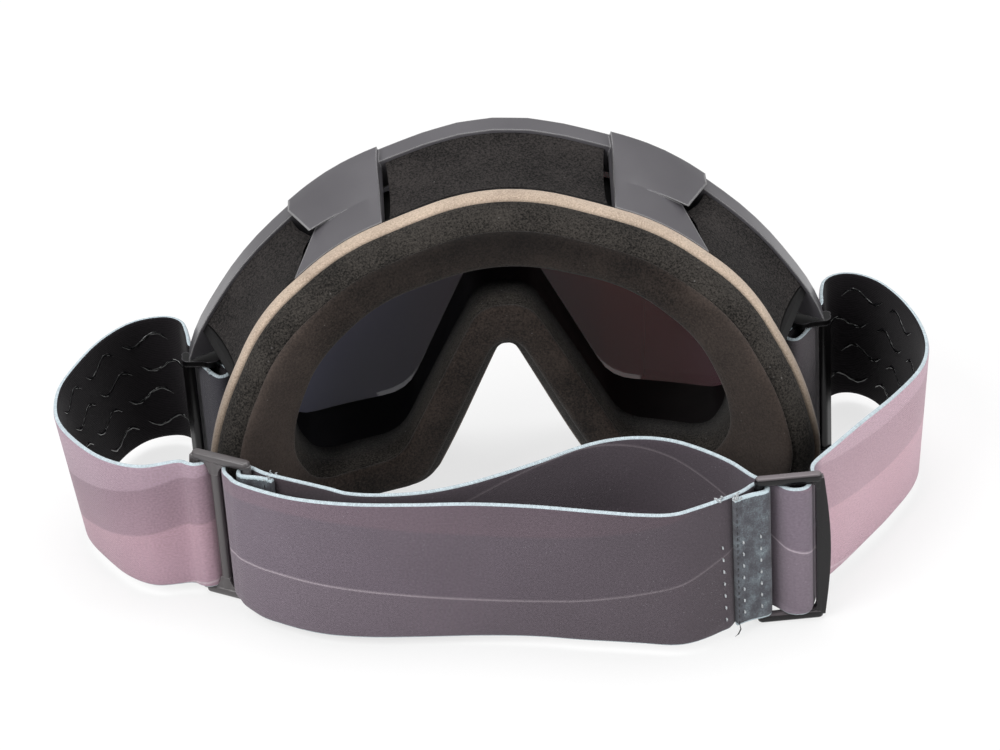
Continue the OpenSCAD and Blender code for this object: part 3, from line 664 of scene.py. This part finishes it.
foam("face_foam_open_cell", "open_cell_foam", open_section, m_open)
foam("face_fleece_layer", "face_fleece", fleece_section, m_fleece)

# Vent foam
VENT_FRONT = 150.3
VENT_BACK = 128.2
VENT_SAG = 0.9
VENT_COLUMNS = 9
# Places where the top opening ends, and where the upper faces end at the seat, in the crease, at
# the rim and below, with the gaps that the foam keeps from them
TOP_TO, TOP_GAP = 7.1, 0.38
FACE_TO, FACE_GAP = (14.8, 11, 11.95, 16.4), 0.45
SIDE_TO = 24.38
LOWER_FROM, LOWER_TO = 45.02, 47.08
vent_low = grow(tunnel_out, 2.15)
vent_seat = grow(seat_out, -1.6)
vent_rim = grow(rim_out, -1.0)


def vent(name, node, start, end, rows=30):
    """A block of vent foam with a sunken face. An end is one place on the outlines, or four: at the
    seat, in the crease, at the rim and below."""
    start, end = (v if isinstance(v, tuple) else (v,) * 4 for v in (start, end))
    rings = []
    for k in range(rows + 1):
        at_seat, at_crease, at_rim, below = mix(start, end, k / rows)
        foot = at(vent_low, below)
        ring = []
        for i in range(VENT_COLUMNS):
            t = i / (VENT_COLUMNS - 1)
            if t < 0.5:
                u = at_rim + (at_crease - at_rim) * 2 * t
            else:
                u = at_crease + (at_seat - at_crease) * (2 * t - 1)
            p = at(vent_rim, u).lerp(at(vent_seat, u), t)
            sag = VENT_SAG * math.sin(math.pi * t) ** 0.7
            ring.append(shell(p - (p - foot).normalized() * sag, VENT_FRONT + (VENT_BACK - VENT_FRONT) * t))
        rings.append(ring + [shell(foot, VENT_BACK), shell(foot, VENT_FRONT)])
    ob = loft(name, rings, False, [m_vent])
    smooth_by_angle(ob, degrees=50)
    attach(ob, "goggles")
    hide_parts(node)


side_from = tuple(u + FACE_GAP for u in FACE_TO)
vent("vent_mesh_top", "vent_foam_top", mirror(TOP_TO - TOP_GAP), TOP_TO - TOP_GAP)
vent("vent_mesh_right", "vent_foam_right", side_from, SIDE_TO)
vent("vent_mesh_left", "vent_foam_left", tuple(mirror(u) for u in side_from), mirror(SIDE_TO))
vent("vent_mesh_lower_right", "vent_foam_lower_right", LOWER_FROM, LOWER_TO, 8)
vent("vent_mesh_lower_left", "vent_foam_lower_left", mirror(LOWER_FROM), mirror(LOWER_TO), 8)

# Plan of the sliders: centre and turn of each, left first
SLIDER_AT = [(78.4, -47.5, 29), (71.2, -74.4, 3)]
SLIDER_LEN, SLIDER_H = 20.0, 46.0
BAR_T, RAIL_H, RAIL_T, BOW = 2.2, 2.8, 3.6, 1.6
SEWN_U, SEWN_W, MID_U, MID_W, END_W = -8.6, 2.4, 1.5, 2.8, 3.8


def on_slider(side, u, v):
    """Plan place of a point given along and out of a slider; side is 0 left or 1 right."""
    cx, cy, degrees = SLIDER_AT[side]
    a = math.radians(degrees)
    way = 1 if side else -1
    return (way * (cx + u * math.cos(a) + v * math.sin(a)), cy + u * math.sin(a) - v * math.cos(a))


# Paths of the strap in plan
STRAP_W, STRAP_T, STRAP_LOW = 40.0, 1.6, 3.0
SOFT_GAP = 0.25
LAYER_V = STRAP_T / 2 + SOFT_GAP
FOLD_V = BAR_T / 2 + LAYER_V
SPREAD_V = LAYER_V * 0.6 + FOLD_V * 0.4
SEWN_LEN = 9.5
SEWN_TURN = (0, 26)
TAB_SHAPE = [(-8.5, LAYER_V), (-5.5, LAYER_V + 0.05), (-3, SPREAD_V), (-1, FOLD_V - 0.1), (1, FOLD_V - 0.1),
             (FOLD_V + 0.1, 0), (1, -FOLD_V + 0.1), (-1, -FOLD_V + 0.1), (-3, -SPREAD_V),
             (-5.5, -LAYER_V - 0.05), (-SEWN_LEN, -LAYER_V)]
FOLD_AT = (79.3, -1.1)
FOLD_DIR = math.radians(58.6)
STRAP_BAR_R = 1.1
FOLD_HALF = STRAP_BAR_R + STRAP_T / 2 + 0.2
END_LEN = 17
END_SHAPE = [(14, LAYER_V), (11, LAYER_V + 0.2), (8, FOLD_HALF - 0.05), (4, FOLD_HALF),
             (0.8, FOLD_HALF - 0.05), (-1.5, 0.7 * FOLD_HALF), (-FOLD_HALF, 0), (-1.5, -0.7 * FOLD_HALF),
             (0.8, -FOLD_HALF + 0.05), (4, -FOLD_HALF), (8, -FOLD_HALF + 0.05), (11, -LAYER_V - 0.2),
             (14, -LAYER_V), (END_LEN, -0.2)]
BAR_PASS = BAR_T / 2 + STRAP_T / 2 + 0.4
left_entry = [(11.5, BAR_PASS + 0.6), (8.2, BAR_PASS + 0.3), (6.3, 2.4), (4.75, 1.1), (4.15, -0.6),
              (3.3, -1.95), (1.9, -BAR_PASS - 0.05)]
right_entry = [(6, -4.2), (5.2, -1.5), (4, BAR_PASS - 1), (2.6, BAR_PASS + 0.05), (1, BAR_PASS + 0.15)]
left_exit = [(1.4, -BAR_PASS - 0.05), (-0.1, -1.95), (-1.7, 0.3), (-3.3, 2.5), (-5.6, 4), (-10, 5.9)]
right_exit = [(0.45, BAR_PASS + 0.1), (-1.4, 1.5), (-3.2, -0.7), (-5.4, -3.3), (-8.9, -5.2)]
left_side_route = [(-89.9, 21.5), (-91.9, 28), (-97.2, 30.8), (-106, 28.5), (-114, 20), (-120.2, 7.5),
                   (-124, -5), (-123.6, -18.5), (-118.8, -29.5), (-110, -40.5), (-100, -45.8)]
right_side_route = [(89.6, 21.5), (91.2, 27.5), (95.5, 30.4), (101, 29.3), (106.5, 24), (111.3, 14),
                    (114.4, 1.5), (114.8, -11), (111.4, -22.5), (103, -34.8), (93, -46.5), (84.2, -57.2),
                    (78, -65)]
left_back_route = [(-61.8, -64.3), (-52, -68.2), (-41, -70.8), (-28, -72.4), (-12, -73.8), (4, -76.8),
                   (19, -80.8), (31, -83.8), (39.5, -84.6), (46.2, -82.2)]
right_back_route = [(56.5, -62), (49.5, -55.2), (42, -50), (34, -47.6), (25.5, -47.8), (17, -50.5),
                    (6.5, -56), (-4, -60.8), (-14.5, -64.8), (-25, -67), (-35.5, -66.9), (-44, -65.2),
                    (-50, -61.8)]


def beyond(path, d=0.3):
    """The point a little past the end of a path."""
    a, b = Vector(path[-2]), Vector(path[-1])
    return tuple(b + (b - a).normalized() * d)


def tab_path(side):
    """The fold round a slider's sewn bar."""
    a = math.radians(SEWN_TURN[side])
    turned = [(u * math.cos(a) + v * math.sin(a), -u * math.sin(a) + v * math.cos(a)) for u, v in TAB_SHAPE]
    return smooth_curve([on_slider(side, u + SEWN_U, v) for u, v in turned])


def at_fold(s, d):
    """Plan place of a point given along and across the fold on the right outrigger."""
    return (FOLD_AT[0] + s * math.cos(FOLD_DIR) + d * math.sin(FOLD_DIR),
            FOLD_AT[1] + s * math.sin(FOLD_DIR) - d * math.cos(FOLD_DIR))


def path_length(path):
    return sum((Vector(b) - Vector(a)).length for a, b in zip(path, path[1:]))


ROUTES = {"left": (left_side_route, left_entry, left_exit, left_back_route),
          "right": (right_side_route, right_entry, right_exit, right_back_route)}
end_path = smooth_curve([at_fold(*p) for p in END_SHAPE])
side_start = [beyond(end_path), at_fold(END_LEN + 2, -SOFT_GAP)]
# The paths, the points before and after each, their lengths, and where each starts along its strap,
# counted from the start of the loop. Each path runs on to where the next begins.
paths, neighbours, lengths, starts = {}, {}, {}, {}
for k, side in enumerate(SIDES):
    side_route, entry, leaving, back_route = ROUTES[side]
    way = 1 if k else -1
    end, first_points = ([(way * x, y) for x, y in pts] for pts in (end_path, side_start))
    loop = smooth_curve(first_points + side_route + [on_slider(k, *p) for p in entry])
    tab = tab_path(1 - k)
    back = smooth_curve([on_slider(k, *p) for p in leaving] + back_route + [beyond(tab)])
    end.append(loop[0])
    loop.append(back[0])
    back.append(tab[-1])
    u = -path_length(end)
    for kind, path, near in (("_end", end, (None, loop[1])), ("_side", loop, (end[-2], back[1])),
                             ("_back", back, (loop[-2], tab[-2])), ("_tab", tab, (None, back[-2]))):
        key = side + kind
        paths[key], neighbours[key], starts[key] = path, near, u
        lengths[key] = path_length(path)
        u += lengths[key]


def outer(key):
    """+1 where the outer face lies left of a path, -1 where it lies right."""
    return -1 if key.startswith("left") else 1


def across(key, i):
    """Direction across a path at one of its points; at an end, the piece that follows counts too."""
    path = paths[key]
    before, after = neighbours[key]
    a = path[i - 1] if i else before or path[0]
    b = path[i + 1] if i < len(path) - 1 else after or path[-1]
    t = (Vector(b) - Vector(a)).normalized()
    return Vector((-t.y, t.x))


# How far the strap's lower edge stands out, by x behind the head and by length on the loops
lean_near = smooth_table([(-77, 0), (-66, 2.6), (-50, 3.8), (-20, 3.3), (10, 2.2), (30, 1.3), (45, 2.6),
                          (52, 2.0), (56, 0)])
lean_far = smooth_table([(-62, 0), (-50, 2.0), (-10, 2.5), (30, 2.5), (50, 1.5), (64, 0)])
lean_left_loop = smooth_table([(22, 0), (75, -4.5), (95, -4.5), (140, 0)])
lean_right_loop = smooth_table([(18, 0), (55, -2.6), (80, -2.6), (125, 0)])


def lean(key, s, x, z):
    """How far the strap stands out at length s, place x and height z above its lower edge."""
    low = 0.0
    if key == "left_side":
        low = lean_left_loop(s)
    elif key == "right_side":
        low = lean_right_loop(s)
    elif key == "right_back":
        low = lean_far(x)
    elif key == "left_back" or (key == "left_tab" and s > lengths[key] / 2):
        low = lean_near(x)
    return low * (1 - z / STRAP_W)


# Strap
SECTION_Z = [0.0, 0.35, 1.0, 4, 8, 13, 18, 23, 28, 33, 37, 39, 39.65, 40.0]
EDGE_REACH = 0.9
EDGE_SHARE = 0.42
prints = {
    "left": strap_material("strap_print_left", lengths["left_side"], 0.0, (112, 92, 104), 0.24, 0.0,
                           (78, 77, 84), 2.0),
    "right": strap_material("strap_print_right", lengths["right_side"], 131.0, (240, 206, 216), 0.34, 0.5,
                            (112, 107, 111), 18.0),
}


def ribbon(name, key, part=(0, 1)):
    """A length of strap along its path or a part of it, thinner at its edges. A tab is folded over,
    so there the print and the texture's direction are turned round."""
    path = paths[key]
    side, kind = key.split("_")
    tab = kind == "tab"
    face = -outer(key) if tab else outer(key)
    last = len(path) - 1
    wanted = range(round(part[0] * last), round(part[1] * last) + 1)
    rings, uvs = [], []
    s = 0.0
    for i, p in enumerate(path):
        if i:
            s += (Vector(p) - Vector(path[i - 1])).length
        if i not in wanted:
            continue
        normal = across(key, i) * face
        u = starts[key] + (lengths[key] - s if tab else s)
        row = []
        for way, heights in ((1, SECTION_Z), (-1, SECTION_Z[::-1])):
            for z in heights:
                edge = min(1, min(z, STRAP_W - z) / EDGE_REACH)
                half = STRAP_T / 2 * min(1.0, EDGE_SHARE + (1 - EDGE_SHARE) * math.sqrt(edge))
                q = Vector(p) + normal * (way * half + lean(key, s, p[0], z))
                row.append(Vector((q.x, q.y, STRAP_LOW + z)) * MM)
                uvs.append((u, z - STRAP_W / 2))
        rings.append(row)
    kinds = ([0] * len(SECTION_Z) + [1] * len(SECTION_Z)) * (len(rings) - 1) + [1, 1]
    ob = loft(name, rings, False, [prints[side], m_tab if tab else m_reverse], uvs, kinds)
    smooth_by_angle(ob, degrees=60)
    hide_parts("strap_" + key)
    return ob


# For each half of a loop or back layer, the two bodies of a blend and where it starts and ends; no blend is
# set up from them here
BLEND_Z = 23
BLENDS = {
    "left_side_front": ("outrigger_left_arm", "goggles", (-88, 16), (-123, -9)),
    "left_side_rear": ("goggles", "adjuster_left", (-122, -14), (-92, -45)),
    "right_side_front": ("outrigger_right_arm", "goggles", (88, 16), (114.5, -2)),
    "right_side_rear": ("goggles", "adjuster_right", (113, -10), (82, -62)),
    "left_back_front": ("adjuster_left", "goggles", (-66, -62), (-12, -74)),
    "left_back_rear": ("goggles", "adjuster_right", (-4, -75), (45, -82)),
    "right_back_front": ("adjuster_right", "goggles", (58, -64), (9, -55)),
    "right_back_rear": ("goggles", "adjuster_left", (0, -59), (-48, -63)),
}
# Share of each path at which its two halves meet, between the end of one blend and the next
CUTS = {"left_side": 0.447, "right_side": 0.46, "left_back": 0.65, "right_back": 0.624}


def bridge(ob, which):
    a, b, start, end = BLENDS[which]
    start, end = (tuple(v * MM for v in (*p, BLEND_Z)) for p in (start, end))
    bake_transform(ob)


for side in SIDES:
    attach(ribbon("strap_%s_sewn_end" % side, side + "_end"), "outrigger_%s_arm" % side)
for side, other in zip(SIDES, SIDES[::-1]):
    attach(ribbon("strap_%s_sewn_tab" % side, side + "_tab"), "adjuster_" + other)
for key, front, rear in (("left_side", "strap_left_loop_front", "strap_left_loop_rear"),
                         ("right_side", "strap_right_loop_front", "strap_right_loop_rear"),
                         ("left_back", "strap_left_outer_layer_a", "strap_left_outer_layer_b"),
                         ("right_back", "strap_right_inner_layer_a", "strap_right_inner_layer_b")):
    bridge(ribbon(front, key, (0, CUTS[key])), key + "_front")
    bridge(ribbon(rear, key, (CUTS[key], 1)), key + "_rear")

# Grip beads
GRIP_ROWS = 4
GRIP_FIRST, GRIP_STEP = 6.2, 9.2
GRIP_SHIFT = 6
GRIP_RUN, GRIP_GAP = 15.0, 3.5
GRIP_W, GRIP_HEIGHT = 0.55, 0.7
GRIP_WAVE, GRIP_TILT = 1.9, 1.6
GRIP_SINK = 0.06
GRIP_FROM = 14
GRIP_SHORT = {"left": 38, "right": 30}
BEAD_STEPS, BEAD_ROUND = 22, 6


def along(key, s):
    """Point of a path and the direction across it, at a length along it."""
    path = paths[key]
    done = 0.0
    for i in range(len(path) - 1):
        a, b = Vector(path[i]), Vector(path[i + 1])
        step = (b - a).length
        if done + step >= s or i == len(path) - 2:
            t = (s - done) / max(1e-6, step)
            return a.lerp(b, t), across(key, i).lerp(across(key, i + 1), t).normalized()
        done += step


def bead_width(f, s, row):
    """Half width of a bead at share f of its run: tapered ends and a slight swell."""
    taper = math.sin(math.pi * min(1, max(0, min(f, 1 - f) * 7)) / 2)
    return GRIP_W * (0.35 + 0.65 * taper) * (0.85 + 0.25 * math.sin(s * 2.3 + row))


def grip(name, key, u_from, u_to):
    """Rows of short wavy beads on the reverse of the strap."""
    def point(s, z, d):
        p, normal = along(key, s)
        q = p + normal * outer(key) * (lean(key, s, p.x, z - STRAP_LOW) - STRAP_T / 2 - d)
        return Vector((q.x, q.y, z)) * MM

    ring = BEAD_ROUND + 1
    verts, faces = [], []
    for row in range(GRIP_ROWS):
        middle = STRAP_LOW + GRIP_FIRST + row * GRIP_STEP
        start = u_from + (row % 2) * GRIP_SHIFT
        while start + GRIP_RUN < u_to:
            base = len(verts)
            for k in range(BEAD_STEPS + 1):
                f = k / BEAD_STEPS
                s = start + GRIP_RUN * f
                z = middle + GRIP_WAVE * math.sin(2 * math.pi * f) + GRIP_TILT * (f - 0.5)
                w = bead_width(f, s, row)
                for j in range(ring):
                    a = math.pi * j / BEAD_ROUND
                    verts.append(point(s, z - w * math.cos(a), GRIP_HEIGHT * w * math.sin(a) - GRIP_SINK))
            for k in range(BEAD_STEPS):
                a = base + k * ring
                for j in range(BEAD_ROUND):
                    faces.append((a + j, a + j + ring, a + j + ring + 1, a + j + 1))
                faces.append((a, a + BEAD_ROUND, a + BEAD_ROUND + ring, a + ring))
            start += GRIP_RUN + GRIP_GAP
    ob = mesh_object(name, verts, faces, [m_silicone])
    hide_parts("grip_" + key.split("_")[0])
    return ob


for side in SIDES:
    key = side + "_side"
    cut = path_length(paths[key][:round(CUTS[key] * (len(paths[key]) - 1)) + 1])
    bridge(grip("grip_beads_%s_front" % side, key, GRIP_FROM, cut), key + "_front")
    bridge(grip("grip_beads_%s_rear" % side, key, cut, lengths[key] - GRIP_SHORT[side]), key + "_rear")

# Thread
STRAND_ROUND = 6
SEAM_R, FRAY_R, ROLL_SEAM_R, PALE_R = 0.17, 0.12, 0.15, 0.27
FRAY_Z = 42.6
# Rows of stitches: step up the strap, count, length and rise above the cloth
PALE_ROW = (3.7, 7, 0.9, 0.3)
EDGE_ROW = (1.9, 20, 1.2, 0.1)
TAB_ROW = (1.9, 20, 1.3, 0.1)
ROLL_ROW = (1.9, 19, 1.3, 0.1)


def strands(name, lines, radius, material, body):
    """Short lengths of thread, each along a few points."""
    verts, faces = [], []
    n = STRAND_ROUND
    for pts in lines:
        pts = [Vector(q) for q in pts]
        base = len(verts)
        last = len(pts) - 1
        for i, q in enumerate(pts):
            t = (pts[min(i + 1, last)] - pts[max(i - 1, 0)]).normalized()
            side = t.orthogonal().normalized()
            other = t.cross(side)
            w = radius * (0.55 if i in (0, last) else 1.0)
            for k in range(n):
                a = 2 * math.pi * k / n
                verts.append((q + side * w * math.cos(a) + other * w * math.sin(a)) * MM)
        for i in range(last):
            for k in range(n):
                a, b = base + i * n + k, base + i * n + (k + 1) % n
                faces.append((a, b, b + n, a + n))
        faces.append(tuple(base + k for k in range(n - 1, -1, -1)))
        faces.append(tuple(base + last * n + k for k in range(n)))
    ob = mesh_object(name, verts, faces, [material])
    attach(ob, body)


def on_strap(key, s, z, d):
    """A point d above the outer face of the strap."""
    p, normal = along(key, s)
    q = p + normal * outer(key) * (STRAP_T / 2 + d + lean(key, s, p.x, z - STRAP_LOW))
    return (q.x, q.y, z)


def stitches(key, s, first, step, count, length, rise):
    """An upright row of short stitches that lie on the strap."""
    rows = []
    for z in (first + step * k for k in range(count)):
        rows.append([on_strap(key, s, z + f * length, d)
                     for f, d in ((-0.5, -0.15), (-0.25, rise), (0.25, rise), (0.5, -0.15))])
    return rows


def fray(key, s0, s1, count, reach, seed):
    """Loose thread ends that stand out of the strap's upper edge."""
    rnd = random.Random(seed)
    out = []
    for _ in range(count):
        s = rnd.uniform(s0, s1)
        p = Vector(on_strap(key, s, FRAY_Z, rnd.uniform(-0.9, 0)))
        way = Vector((rnd.uniform(-0.6, 0.6), rnd.uniform(-0.6, 0.6), rnd.uniform(0.5, 1.0)))
        d = way * rnd.uniform(0.5, 1) * reach
        bow = Vector((rnd.uniform(-1, 1), rnd.uniform(-1, 1), 0)) * reach * 0.3
        out.append([p, p + d * 0.4 + bow, p + d * 0.8 + bow * 1.2, p + d + bow * 0.4])
    return out


back_end = lengths["left_back"]
tab_end = lengths["right_tab"]
pale = stitches("left_tab", 2.0, 7.0, *PALE_ROW) + stitches("left_tab", 7.2, 7.4, *PALE_ROW)
pale += stitches("left_back", back_end - 2.4, 6.6, *PALE_ROW)
pale += fray("left_tab", 0.0, 1.4, 7, 2.2, 5) + fray("left_back", back_end - 3, back_end - 0.4, 5, 1.8, 8)
strands("stitches_right_tab", pale, PALE_R, m_thread_pale, "adjuster_right")
tail = [Vector(on_strap("left_tab", 0.3, 3.6, 0.2))]
tail += [tail[0] + Vector(v) for v in ((0.2, -0.4, -1.2), (-0.5, -0.9, -2.4), (-1.3, -0.9, -3.1))]
seam = stitches("left_tab", 0.35, 4.0, *EDGE_ROW)
strands("stitches_right_edge", seam + [tail], SEAM_R, m_thread_dark, "adjuster_right")
seam = stitches("right_tab", 2.2, 4.5, *TAB_ROW)
strands("stitches_left_tab", seam, SEAM_R, m_thread_dark, "adjuster_left")
loose = fray("right_tab", 0.0, 2.5, 6, 2.0, 11) + fray("right_tab", tab_end - 3, tab_end, 6, 1.8, 12)
strands("fray_left_tab", loose, FRAY_R, m_thread_pale, "adjuster_left")
for side, seed in (("left", 19), ("right", 21)):
    key = side + "_end"
    arm = "outrigger_%s_arm" % side
    strands("fray_%s_roll" % side, fray(key, 3, 16, 9, 2.4, seed), FRAY_R, m_thread_pale, arm)
    rows = []
    for s in (6.5, 5.0):
        rows += stitches(key, lengths[key] - s, 5.0, *ROLL_ROW)
    strands("stitches_%s_roll" % side, rows, ROLL_SEAM_R, m_thread_dark, arm)

# Sliders
RAIL_RINGS = ((0.2, 1.1), (0.32, 0.75), (0.6, 0.5), (1, 0.4), (1.8, 0.4), (2.2, 0.5), (2.48, 0.75),
              (2.6, 1.1))
END_FROM, END_TO = SLIDER_LEN / 2 - END_W, SLIDER_LEN / 2 - BOW
SLIDER_ROUND, SLIDER_EDGE = 0.5, 40
BOW_STEPS, WEB_STEPS = 20, 8
# Webs that run the bars into the rails: place, half width at the bar, reach, and whether on both sides
WEBS = ((MID_U, 1.4, 3.6, True), (END_FROM + 1, 1.0, 2.0, False))
WEB_IN, WEB_THIN = 0.2, 0.08


def stadium(u0, u1, w, steps=10):
    """A strip from u0 to u1 with round ends, as points along and out of a slider."""
    pts = []
    for centre, first in ((u1, -90), (u0, 90)):
        for k in range(steps + 1):
            a = math.radians(first + 180 * k / steps)
            pts.append((centre + w / 2 * math.cos(a), w / 2 * math.sin(a)))
    return pts


def slider(name, node, side, body, material):
    """Two rails, a middle and a sewn bar, a bowed end bar, and webs where the bars meet the rails."""
    bm = bmesh.new()

    def point(u, v, z):
        return bm.verts.new(Vector((*on_slider(side, u, v), z)) * MM)

    def skin(rings):
        for low, high in zip(rings, rings[1:]):
            for i in range(len(low)):
                k = (i + 1) % len(low)
                bm.faces.new((low[i], low[k], high[k], high[i]))
        bm.faces.new(rings[0][::-1])
        bm.faces.new(rings[-1])

    def plate(pts, half):
        skin([[point(u, v, z) for u, z in pts] for v in (-half, half)])

    low, high = RAIL_H / 2, SLIDER_H - RAIL_H / 2
    rail = [(stadium((RAIL_T - SLIDER_LEN) / 2, END_TO - RAIL_T / 2, RAIL_T - 2 * inset), z)
            for z, inset in RAIL_RINGS]
    for foot in (0, SLIDER_H - RAIL_H):
        skin([[point(u, v, foot + z) for u, v in ring] for ring, z in rail])
    for middle, w in ((MID_U, MID_W), (SEWN_U, SEWN_W)):
        bar = stadium(middle - (w - BAR_T) / 2, middle + (w - BAR_T) / 2, BAR_T)
        skin([[point(u, v, z) for u, v in bar] for z in (low, high)])
    bowed = [(END_TO + BOW * math.sin(math.pi * k / BOW_STEPS), low + (high - low) * k / BOW_STEPS)
             for k in range(BOW_STEPS + 1)]
    plate([(END_FROM, high), (END_FROM, low)] + bowed, BAR_T / 2)
    turns = [math.pi / 2 * k / WEB_STEPS for k in range(WEB_STEPS + 1)]
    for u, half, reach, both in WEBS:
        for edge, way in ((RAIL_H - WEB_IN, 1), (SLIDER_H - RAIL_H + WEB_IN, -1)):
            arc = [(u + half + reach * (1 - math.sin(a)), edge + way * reach * (1 - math.cos(a)))
                   for a in turns]
            mirrored = [(2 * u - a, z) for a, z in arc[::-1]]
            plate((arc if both else [(u, edge), (u, edge + way * reach)]) + mirrored, BAR_T / 2 - WEB_THIN)
    bmesh.ops.recalc_face_normals(bm, faces=bm.faces)
    me = bpy.data.meshes.new(name)
    bm.to_mesh(me)
    bm.free()
    ob = add_object(name, me)
    me.materials.append(material)
    rounding = ob.modifiers.new("bevel", "BEVEL")
    rounding.width = SLIDER_ROUND * MM
    rounding.segments = 3
    rounding.limit_method = "ANGLE"
    rounding.angle_limit = math.radians(SLIDER_EDGE)
    apply_modifiers(ob)
    smooth_by_angle(ob, SLIDER_EDGE)
    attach(ob, body)
    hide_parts(node)


slider("slider_left_moulding", "slider_left", 0, "adjuster_left", m_slider_lit)
slider("slider_right_moulding", "slider_right", 1, "adjuster_right", m_slider_shaded)

# Floor and light
FLOOR_HALF = 6.0
FLOOR_DROP = 0.0002
FLOOR_GLOW = 0.72
WORLD_LIGHT = 0.45


def pale_floor():
    """A pale floor that keeps the shadow and looks white to the camera, in gloss and through glass."""
    s = FLOOR_HALF
    me = bpy.data.meshes.new("floor")
    me.from_pydata([(x, y, -FLOOR_DROP) for x, y in ((-s, -s), (s, -s), (s, s), (-s, s))], [], [(0, 1, 2, 3)])
    ob = add_object("floor", me)
    a = Material("floor_white")
    a.colour(a.ramp(a.noise(a.obj(), 3, 2), [(0.0, (244, 244, 244)), (1.0, (248, 248, 248))]))
    a.set(rough=0.9, spec=0.1)
    glow = a.node("ShaderNodeEmission")
    glow.inputs["Color"].default_value = (1, 1, 1, 1)
    glow.inputs["Strength"].default_value = 1.0
    path = a.node("ShaderNodeLightPath")
    seen = a.math("MAXIMUM", path.outputs["Is Camera Ray"],
                  a.math("MAXIMUM", path.outputs["Is Glossy Ray"], path.outputs["Is Transmission Ray"]))
    mixer = a.node("ShaderNodeMixShader")
    a.link(a.times(seen, FLOOR_GLOW), mixer.inputs[0])
    a.link(a.shader.outputs[0], mixer.inputs[1])
    a.link(glow.outputs[0], mixer.inputs[2])
    a.link(mixer.outputs[0], a.tree.nodes["Material Output"].inputs["Surface"])
    me.materials.append(a.made)


def studio_world():
    """White where the camera or glass sees it, and a weaker white light on the object."""
    world = bpy.data.worlds.new("studio")
    scene.world = world
    world.use_nodes = True
    tree = world.node_tree
    path = tree.nodes.new("ShaderNodeLightPath")
    seen = tree.nodes.new("ShaderNodeMath")
    seen.operation = "MAXIMUM"
    tree.links.new(path.outputs["Is Camera Ray"], seen.inputs[0])
    tree.links.new(path.outputs["Is Transmission Ray"], seen.inputs[1])
    level = tree.nodes.new("ShaderNodeMath")
    level.operation = "MULTIPLY_ADD"
    tree.links.new(seen.outputs[0], level.inputs[0])
    level.inputs[1].default_value = 1 - WORLD_LIGHT
    level.inputs[2].default_value = WORLD_LIGHT
    background = tree.nodes["Background"]
    background.inputs["Color"].default_value = (1, 1, 1, 1)
    tree.links.new(level.outputs[0], background.inputs["Strength"])


def area_light(name, place, size, power, aim=(0, -0.01, 0.04)):
    data = bpy.data.lights.new(name, "AREA")
    data.shape = "RECTANGLE"
    data.size, data.size_y = size
    data.energy = power
    ob = add_object(name, data)
    ob.location = place
    ob.rotation_euler = (Vector(aim) - Vector(place)).to_track_quat("-Z", "Y").to_euler()


pale_floor()
studio_world()
area_light("key", (-0.9, -0.7, 1.1), (0.9, 0.9), 14)
area_light("top", (0.1, 0.35, 1.3), (1.2, 0.6), 9)
area_light("fill", (1.1, -0.8, 0.6), (0.9, 0.7), 6)

scene.view_settings.view_transform = "Standard"
